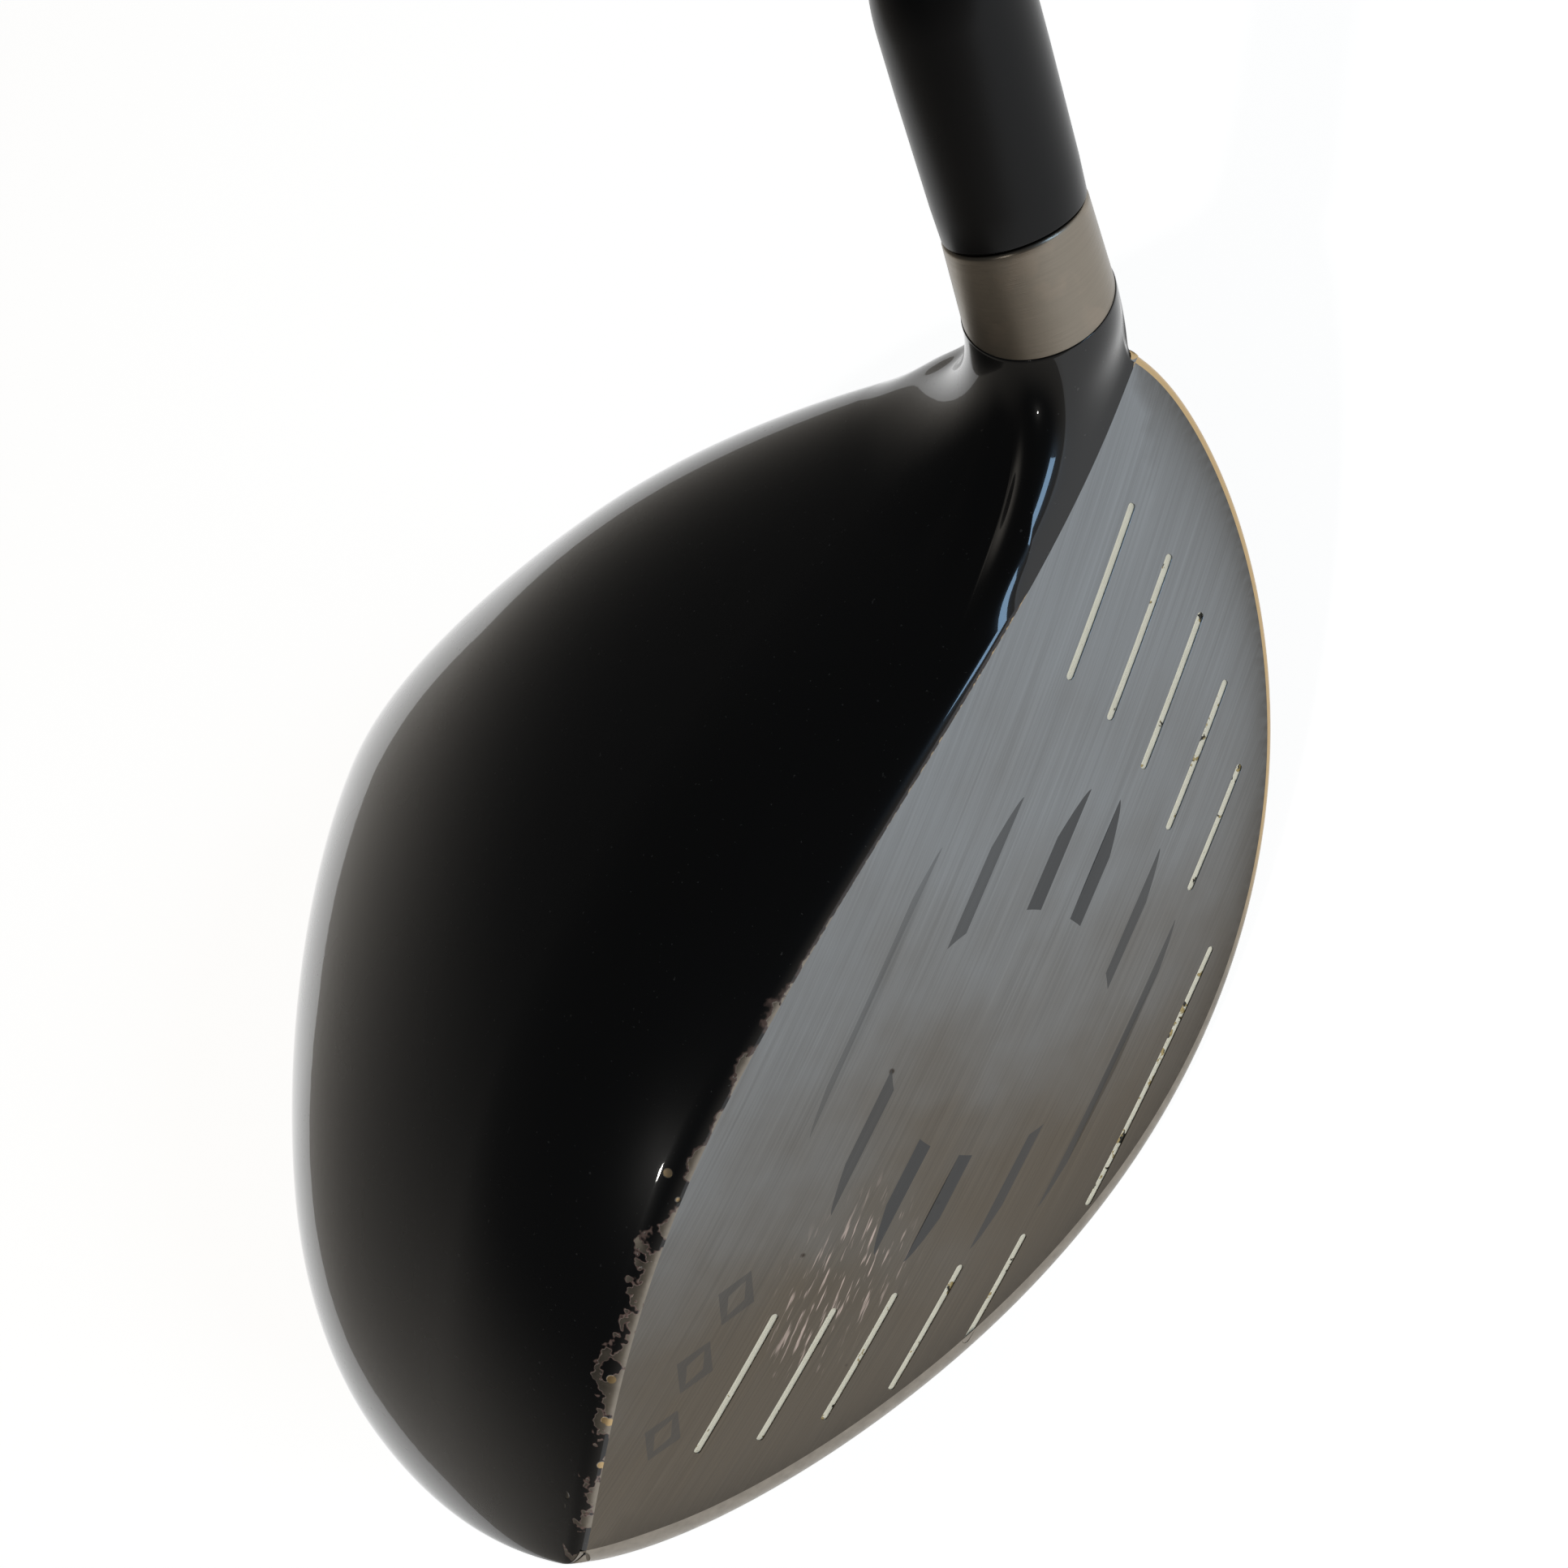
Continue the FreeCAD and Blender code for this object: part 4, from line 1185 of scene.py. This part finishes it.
@dataclass(frozen=True)
class Etching:
    """Darker strokes round the middle of the face, and three small open lozenges by the toe."""

    centre: float = 1.6
    outer: Oval = Oval(22.0, 18.4)
    inner: Oval = Oval(11.8, 11.5)
    rows: tuple[tuple[float, float, float], ...] = (
        (15.2, 0.38, 0.45), (9.5, 0.60, 0.80), (3.0, 0.76, 1.0),
        (-2.1, 0.74, 1.0), (-8.8, 0.55, 0.85), (-14.3, 0.42, 0.75))
    blade: float = 5.0
    lozenges: tuple[tuple[float, float], ...] = ((-28.0, 13.9), (-35.5, 14.2), (-43.0, 13.5))
    lozenge: tuple[float, float] = (2.9, 1.9)
    lozenge_line: float = 1.05
    lozenge_strength: float = 0.55

    def strokes(self) -> list[tuple[Array, float]]:
        """Outlines of the strokes, each with its strength.

        A stroke fills its row's height between the two ovals, and its outer end narrows like a
        blade: straight on the side of the face's middle, curved on the other.  A row beyond the
        inner oval is one stroke from side to side.
        """
        out: list[tuple[Array, float]] = []
        for v, half, strength in self.rows:
            height = v + np.linspace(-half, half, 9)
            outward = np.linspace(0.0, 1.0, 9)[::1 if v > 0 else -1]
            far = self.outer.reach(np.full(9, v)) + 1.2 - self.blade * outward ** 1.5
            near = self.inner.reach(height)
            if near.max() < 1.0:
                loop = np.concatenate([np.stack([far, height], -1), np.stack([-far, height], -1)[::-1]])
                out.append((loop, strength))
                continue
            for side in (-1.0, 1.0):
                loop = np.concatenate([np.stack([side * far, height], -1),
                                       np.stack([side * near, height], -1)[::-1]])
                out.append((loop, strength))
        return [(loop + [self.centre, 0.0], strength) for loop, strength in out]

    def marks(self) -> list[tuple[Array, Array, float]]:
        """Outer and inner outlines of the lozenges, each with its strength."""
        corner = np.array([[1.0, 0.0], [0.0, 1.0], [-1.0, 0.0], [0.0, -1.0]])
        size = np.array(self.lozenge)
        return [(corner * size + spot, corner * (size - self.lozenge_line) + spot, self.lozenge_strength)
                for spot in self.lozenges]


@dataclass(frozen=True)
class ScoreLine:
    """One score line: a slot with round ends along the face."""

    left: float
    right: float
    height: float
    wear: float

    def loop(self, half: float, step: float = 1.2) -> Array:
        """The slot's outline at half a width: two straight sides and two half circles."""
        count = max(int((self.right - self.left) / step), 2)
        run = np.linspace(self.left, self.right, count + 1)
        arc = np.linspace(-np.pi / 2, np.pi / 2, 9)[1:-1]
        low = np.stack([run, np.full(len(run), self.height - half)], -1)
        right = np.stack([self.right + half * np.cos(arc), self.height + half * np.sin(arc)], -1)
        high = np.stack([run[::-1], np.full(len(run), self.height + half)], -1)
        left = np.stack([self.left - half * np.cos(arc), self.height - half * np.sin(arc)], -1)
        return np.concatenate([low, right, high, left])

    def off_line(self, spots: Array) -> Array:
        """Distance of spots from the slot's middle line."""
        beyond = spots[..., 0] - np.clip(spots[..., 0], self.left, self.right)
        return np.hypot(beyond, spots[..., 1] - self.height)


def inside(spots: Array, loop: Array) -> Array:
    """Whether spots lie inside a closed outline: a ray from each crosses it an odd number of times."""
    a, b = loop, np.roll(loop, -1, axis=0)
    x, y = spots[:, None, 0], spots[:, None, 1]
    crosses = (a[:, 1] > y) != (b[:, 1] > y)
    rise = np.where(b[:, 1] == a[:, 1], 1e-12, b[:, 1] - a[:, 1])
    at = a[:, 0] + (y - a[:, 1]) * (b[:, 0] - a[:, 0]) / rise
    return ((crosses & (x < at)).sum(axis=1) % 2) == 1


@dataclass(frozen=True)
class Face:
    """The struck face: a piece of a sphere with cut score lines, their paint and etched marks."""

    skin: HeadSkin
    columns: int
    etching: Etching = Etching()
    half_width: float = 0.34
    edge_round: float = 0.08
    cut_depth: float = 0.4
    paint_below: float = 0.10
    pitch: float = 5.8
    top_line: float = 9.1
    bottom_line: float = -20.3
    bottom_half: float = 13.5
    centre: float = 1.6
    outer_ends: tuple[float, ...] = (45.7, 43.5, 40.4, 36.2, 30.0)
    inner_ends: tuple[float, ...] = (30.8, 29.2, 26.6, 22.6, 18.3)
    spacing: float = 1.3
    shade_reach: float = 3.0

    def lines(self) -> list[ScoreLine]:
        """The score lines: five on each side of the middle, and one long one below it."""
        out = [ScoreLine(self.centre - self.bottom_half, self.centre + self.bottom_half,
                         self.bottom_line, 0.65)]
        for row, (far, near) in enumerate(zip(self.outer_ends, self.inner_ends)):
            v = self.top_line - self.pitch * row
            out.append(ScoreLine(self.centre + near, self.centre + far, v, row / 4 * 0.5))
            out.append(ScoreLine(self.centre - far, self.centre - near, v, 0.1 + row / 4 * 0.35))
        return out

    def make(self) -> None:
        """The face's sheet and the walls of its cut lines."""
        form, lines = self.skin.form, self.lines()
        rim = self.skin.face_edge(turns(self.columns))
        strokes, marks = self.etching.strokes(), self.etching.marks()
        loops = [rim] + [line.loop(self.half_width + self.edge_round) for line in lines]
        loops += [loop for loop, _ in strokes] + [loop for pair in marks for loop in pair[:2]]
        spots, corners = self.fill(loops)
        middle = spots[corners].mean(axis=1)
        keep = inside(middle, rim)
        for line in lines:
            keep &= line.off_line(middle) > self.half_width + self.edge_round * 0.999
        depth = np.zeros(len(middle))
        for loop, strength in strokes:
            depth[inside(middle, loop)] = strength
        for outer, inner, strength in marks:
            depth[inside(middle, outer) & ~inside(middle, inner)] = strength
        shade = self.edge_shade(spots, rim)
        mesh = PieceMesh()
        for level in np.unique(depth[keep]):
            chosen = corners[keep & (depth == level)]
            used, chosen = np.unique(chosen, return_inverse=True)
            points = form.on_face(spots[used])
            mesh.add_triangles(points, chosen.reshape(-1, 3), unit(points - form.ball),
                               {"etched": np.full(len(used), level), "edge_shade": shade[used]})
        for line in lines:
            self.add_wall(mesh, line)
        settle(mesh, "face", Finish.face_titanium, "face_plate")

    def edge_shade(self, spots: Array, rim: Array) -> Array:
        """How far each spot lies in the shade inside the sole's edge: exp(-gap / 3 mm) there."""
        gap = np.linalg.norm(spots[:, None] - rim[None, ::2], axis=-1)
        nearest = turns(self.columns)[::2][gap.argmin(axis=1)]
        return np.exp(-gap.min(axis=1) / self.shade_reach) * self.skin.on_sole(nearest)

    def fill(self, loops: list[Array]) -> tuple[Array, Array]:
        """Fills the plane of the face with triangles whose edges follow every outline.

        Args:
            loops: closed outlines.

        Returns:
            Spots, and the numbers of each triangle's three spots.
        """
        rim = loops[0]
        low, high = rim.min(axis=0), rim.max(axis=0)
        rows = np.arange(low[1], high[1], self.spacing * 0.87)
        cols = np.arange(low[0], high[0], self.spacing)
        u, v = np.meshgrid(cols, rows)
        u = u + np.where(np.arange(len(rows)) % 2, self.spacing / 2, 0.0)[:, None]
        inner = np.stack([u.ravel(), v.ravel()], -1)
        inner = inner[inside(inner, rim * 0.985)]
        starts = np.cumsum([0] + [len(loop) for loop in loops])
        edges = [(int(s + i), int(s + (i + 1) % len(loop)))
                 for s, loop in zip(starts, loops) for i in range(len(loop))]
        spots = np.concatenate([*loops, inner])
        found, _, faces, *_ = delaunay_2d_cdt([Vector(p) for p in spots.tolist()], edges, [], 0, 1e-5)
        return np.array([p[:] for p in found]), np.array([list(face) for face in faces])

    def add_wall(self, mesh: PieceMesh, line: ScoreLine) -> None:
        """The eased lip and the wall of one cut line, down to its floor."""
        form = self.skin.form
        lean = np.radians([0.0, 32.0, 62.0, 86.0, 90.0])
        half = self.half_width + self.edge_round * (1.0 - np.sin(lean))
        depth = np.append(self.edge_round * (1.0 - np.cos(lean[:-1])), self.cut_depth)
        half[-1] = self.half_width - 0.02
        rings = np.stack([line.loop(h) for h in half])
        points = form.on_face(rings, depth[:, None])
        face_way = unit(points - form.ball)
        middle = np.stack([np.clip(rings[..., 0], line.left, line.right),
                           np.full(rings.shape[:2], line.height)], -1)
        inward = unit(form.on_face(middle) - form.on_face(rings))
        normals = unit(face_way * np.cos(lean)[:, None, None] + inward * np.sin(lean)[:, None, None])
        mesh.add_grid(points, normals=normals, traits={"etched": np.zeros(points.shape[:2]),
                                                       "edge_shade": np.zeros(points.shape[:2])})

    def make_paint(self) -> None:
        """The paint in the cut lines: a hollow skin that climbs a little at the walls."""
        form, mesh = self.skin.form, PieceMesh()
        share = np.array([0.0, 0.35, 0.7, 0.92, 1.0])
        for line in self.lines():
            rings = np.stack([line.loop(max(self.half_width * q, 0.004)) for q in share])
            wave = 0.02 * np.sin(rings[..., 0] * 2.9 + line.height) + 0.012 * np.sin(rings[..., 0] * 7.3)
            dip, calm = (1.0 - share ** 2)[:, None], (1.0 - share ** 4)[:, None]
            sink = self.paint_below + 0.05 * dip + wave * calm
            points = form.on_face(rings, sink)
            mesh.add_grid(points, normals=unit(points - form.ball),
                          traits={"wear": np.full(points.shape[:2], line.wear)})
        settle(mesh, "score_paint", Finish.score_paint, "score_line_paint")


# ---- ferrule, shaft and grip -----------------------------------------------------------------


@dataclass(frozen=True)
class Shaft:
    """Ferrule, tapered shaft, blank band, grip and cap, all turned on the shaft's axis."""

    line: ShaftLine
    tip_radius: float = 4.255
    butt_radius: float = 7.62
    tip_parallel: float = 45.0
    ferrule_radius: float = 5.95
    ferrule_straight: float = 18.5
    ferrule_length: float = 25.0
    band_start: float = 560.0
    band_end: float = 680.0
    grip_length: float = 268.0
    grip_mouth_wall: float = 1.45
    cap_radius: float = 13.4
    cap_thickness: float = 5.0
    vent_radius: float = 1.25
    sides: int = 96
    crease: float = np.radians(40)
    grip_crease: float = np.radians(60)
    even_taper: float = 0.62
    cut_depth: float = 0.38
    cut_pitch: float = 9.0
    cut_turns: int = 7
    cut_bands: int = 4
    ring_depth: float = 0.25
    lip_height: float = 0.30

    def turned(self, name: str, profile: Array, finish: Finish) -> None:
        """Spins a profile of (distance along the axis, radius) into the piece named after its node."""
        s, r = profile[:, 0:1], profile[:, 1:2]
        points = self.line.at(s, r, turns(self.sides)[None, :])
        legs = np.hypot(np.diff(profile[:, 0]), np.diff(profile[:, 1]))
        mesh = PieceMesh()
        mesh.add_grid(points, lengths=np.concatenate([[0], np.cumsum(legs)]))
        settle(mesh, name, finish, name, self.crease)

    def radius(self, s: Array | float) -> Array:
        """Radius of the shaft: parallel at the tip, then an even taper to the butt."""
        share = np.clip((s - self.tip_parallel) / (self.line.butt - self.tip_parallel), 0.0, 1.0)
        return self.tip_radius + (self.butt_radius - self.tip_radius) * share

    def make_ferrule(self) -> None:
        """Black collar: a straight skirt, two fine turned rings and a rounded shoulder."""
        r = self.ferrule_radius
        self.turned("ferrule", rounded([
            (0.12, self.tip_radius), (0.12, r - 0.05, 0.15), (3.0, r + 0.02), (12.0, r - 0.02),
            (self.ferrule_straight, r - 0.12, 2.0), (22.5, r - 1.0, 1.4),
            (self.ferrule_length, self.tip_radius + 0.22, 0.2),
            (self.ferrule_length, self.tip_radius - 0.02)]),
            Finish.ferrule_plastic)

    def make_shaft(self) -> None:
        """The shaft from inside the ferrule to the butt, and the blank band on it."""
        taper = np.linspace(self.tip_parallel, self.line.butt, 60)
        s = np.concatenate([[self.ferrule_length - 4.0], taper])
        self.turned("shaft", np.stack([s, self.radius(s)], -1), Finish.shaft_graphite)
        low, high, film = self.band_start, self.band_end, 0.08
        s = np.linspace(low, high, 12)
        skin = np.stack([s, self.radius(s) + film], -1)
        ends = [[[low, self.radius(low)]], skin, [[high, self.radius(high)]]]
        self.turned("shaft_band", np.concatenate(ends), Finish.band)

    def grip_radius(self, s: Array | float) -> Array:
        """Radius of the grip: a long taper that fills out towards the butt."""
        share = (s - (self.line.butt - self.grip_length)) / self.grip_length
        mouth = self.radius(self.line.butt - self.grip_length) + self.grip_mouth_wall
        fill = self.even_taper * share + (1.0 - self.even_taper) * share ** 4
        return mouth + (self.cap_radius - mouth) * fill

    def make_grip(self) -> None:
        """The grip: two crossing sets of fine helical cuts between plain bands.

        The surface is the taper less (1 - |sin|)^6 of each set's phase, eased out at the bands.
        """
        mouth, butt = self.line.butt - self.grip_length, self.line.butt
        s = np.linspace(mouth, butt, 620)[:, None]
        turn = turns(140)[None, :]
        share = (s - mouth) / self.grip_length
        phase = (s - mouth) * 2 * np.pi / self.cut_pitch
        cuts = sum((1.0 - np.abs(np.sin((phase + side * turn * self.cut_turns) / 2))) ** 6
                   for side in (-1, 1))
        beat = np.abs(np.sin(share * np.pi * self.cut_bands))
        bands = smooth(beat * 6 - 0.8) * smooth((share - 0.02) * 60) * smooth((0.985 - share) * 60)
        rings = self.ring_depth * np.exp(-((beat - 0.10) / 0.03) ** 2)
        lip = self.lip_height * smooth((0.010 - share) * 200)
        radius = self.grip_radius(s) - self.cut_depth * np.clip(cuts, 0, 1) * bands - rings + lip
        points = self.line.at(s, radius, turn)
        start = self.line.at(np.full((1, 1), mouth), self.radius(mouth) - 0.02, turn)
        mesh = PieceMesh()
        mesh.add_grid(np.concatenate([start, points]))
        settle(mesh, "grip", Finish.grip_rubber, "grip", self.grip_crease)
        end, r, vent = butt + self.cap_thickness, self.cap_radius, self.vent_radius
        self.turned("grip_cap", rounded([
            (butt, r - 0.6), (butt + 0.25, r, 0.2), (butt + 2.4, r, 0.5), (end - 0.3, r - 2.6, 1.8),
            (end, 4.0), (end - 0.5, 3.6), (end - 0.5, vent + 0.4, 0.3), (butt + 0.2, vent)]),
            Finish.cap_rubber)


# ---- CAD nodes that stay, the stage and the camera -------------------------------------------


def dress_kept_nodes(replaced: set[str]) -> None:
    """Gives every CAD node that still shows its finish's material."""
    for part in frame["record"]["subparts"]:
        node = part["node"]
        if node in replaced:
            continue
        piece = frame["nodes"][node]
        piece.data.materials.clear()
        piece.data.materials.append(Finish[part["material_slot"]].material())
        LOG.info("%s: kept from the CAD", node)


@dataclass(frozen=True)
class SoftLight:
    """A square soft light that looks at a point on the head."""

    name: str
    place: tuple[float, float, float]
    size: float
    power: float
    colour: Colour
    aim: tuple[float, float, float] = (0.0, 0.0, 0.03)

    def make(self) -> None:
        """Adds the light; places are in metres."""
        lamp = bpy.data.lights.new(self.name, "AREA")
        lamp.shape, lamp.size = "SQUARE", self.size
        lamp.energy, lamp.color = self.power, self.colour
        holder = bpy.data.objects.new(self.name, lamp)
        place = Vector(self.place)
        turn = (place - Vector(self.aim)).to_track_quat("Z", "Y").to_matrix().to_4x4()
        holder.matrix_world = Matrix.Translation(place) @ turn
        bpy.context.scene.collection.objects.link(holder)


@dataclass(frozen=True)
class Studio:
    """Pale floor, soft lights and the camera."""

    eye: tuple[float, float, float] = (0.0264, -0.1195, 0.1534)
    target: tuple[float, float, float] = (0.0101, -0.0300, 0.0634)
    roll: float = np.radians(-73.14)
    lens: float = 39.97
    shift: tuple[float, float] = (0.0067, 0.0528)
    floor_colour: Colour = (0.90, 0.895, 0.885)
    floor_glow: float = 0.98
    low_sky: Colour = (0.36, 0.335, 0.30)
    high_sky: Colour = (0.055, 0.055, 0.055)
    sky_top: float = 0.62
    lights: tuple[SoftLight, ...] = (
        SoftLight("front_soft", (0.55, -1.1, 0.45), 0.30, 3.0, (0.42, 0.68, 1.0)),
        SoftLight("small_lamp", (-0.423, -0.343, 0.741), 0.03, 0.35, (1.0, 0.97, 0.92)),
    )

    def make_floor(self) -> None:
        """A wide floor just under the sole."""
        half = 6000.0
        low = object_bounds()[0].z / MM - 0.05
        grid = np.array([[(x, y, low) for x in (-half, half)] for y in (-half, half)])
        mesh = PieceMesh()
        mesh.add_grid(grid, closed=False, normals=np.broadcast_to([0.0, 0.0, 1.0], grid.shape))
        mix = Recipe("floor_paint")
        shade = mix.noise(2.0, 3.0)
        mix.set(Base_Color=mix.blend(shade, self.floor_colour, shaded(self.floor_colour, 0.98)),
                Roughness=0.75, Emission_Color=self.floor_colour, Emission_Strength=self.floor_glow)
        mesh.build("floor", mix.material)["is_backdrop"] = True

    def make_world(self) -> None:
        """A dim room: pale near the horizon and darker overhead."""
        world = bpy.data.worlds.new("studio")
        world.use_nodes = True
        tree = world.node_tree
        way = tree.nodes.new("ShaderNodeTexCoord")
        apart = tree.nodes.new("ShaderNodeSeparateXYZ")
        fade = tree.nodes.new("ShaderNodeMapRange")
        fade.interpolation_type = "SMOOTHSTEP"
        fade.inputs["From Max"].default_value = self.sky_top
        shades = tree.nodes.new("ShaderNodeMix")
        shades.data_type = "RGBA"
        shades.inputs[6].default_value = (*self.low_sky, 1.0)
        shades.inputs[7].default_value = (*self.high_sky, 1.0)
        tree.links.new(way.outputs["Generated"], apart.inputs[0])
        tree.links.new(apart.outputs["Z"], fade.inputs["Value"])
        tree.links.new(fade.outputs[0], shades.inputs[0])
        tree.links.new(shades.outputs[2], tree.nodes["Background"].inputs["Color"])
        bpy.context.scene.world = world

    def make_camera(self) -> None:
        """The camera: looks from eye to target and is rolled about that line."""
        eye, target = np.array(self.eye), np.array(self.target)
        behind = unit(eye - target)
        right = unit(np.cross([0.0, 0.0, 1.0], behind))
        up = np.cross(behind, right)
        c, s = np.cos(self.roll), np.sin(self.roll)
        axes = np.stack([c * right + s * up, -s * right + c * up, behind], axis=1)
        lens = bpy.data.cameras.new("camera")
        lens.lens, lens.sensor_width = self.lens, 36.0
        lens.shift_x, lens.shift_y = self.shift
        lens.clip_start, lens.clip_end = 0.01, 50.0
        holder = bpy.data.objects.new("camera", lens)
        holder.matrix_world = Matrix.Translation(eye) @ Matrix(axes.tolist()).to_4x4()
        bpy.context.scene.collection.objects.link(holder)
        bpy.context.scene.camera = holder

    def make(self) -> None:
        """Sets the whole stage."""
        self.make_floor()
        self.make_world()
        for light in self.lights:
            light.make()
        self.make_camera()
        bpy.context.scene.view_settings.view_transform = "Standard"


def main() -> None:
    """Builds the club and its stage."""
    logging.basicConfig(level=logging.INFO, format="%(name)s %(message)s")
    form = HeadForm()
    skin = HeadSkin(form)
    line = ShaftLine.from_frame(Head.ring_top)
    head = Head(line, skin)
    head.make_skin()
    head.make_ring()
    head.make_neck()
    face = Face(skin, head.columns)
    face.make()
    face.make_paint()
    shaft = Shaft(line)
    shaft.make_ferrule()
    shaft.make_shaft()
    shaft.make_grip()
    dress_kept_nodes({"crown_plate", "body_casting", "hosel", "face_plate", "score_line_paint",
                      "ferrule", "shaft", "shaft_band", "grip", "grip_cap"})
    Studio().make()


if __name__ == "__main__":
    main()
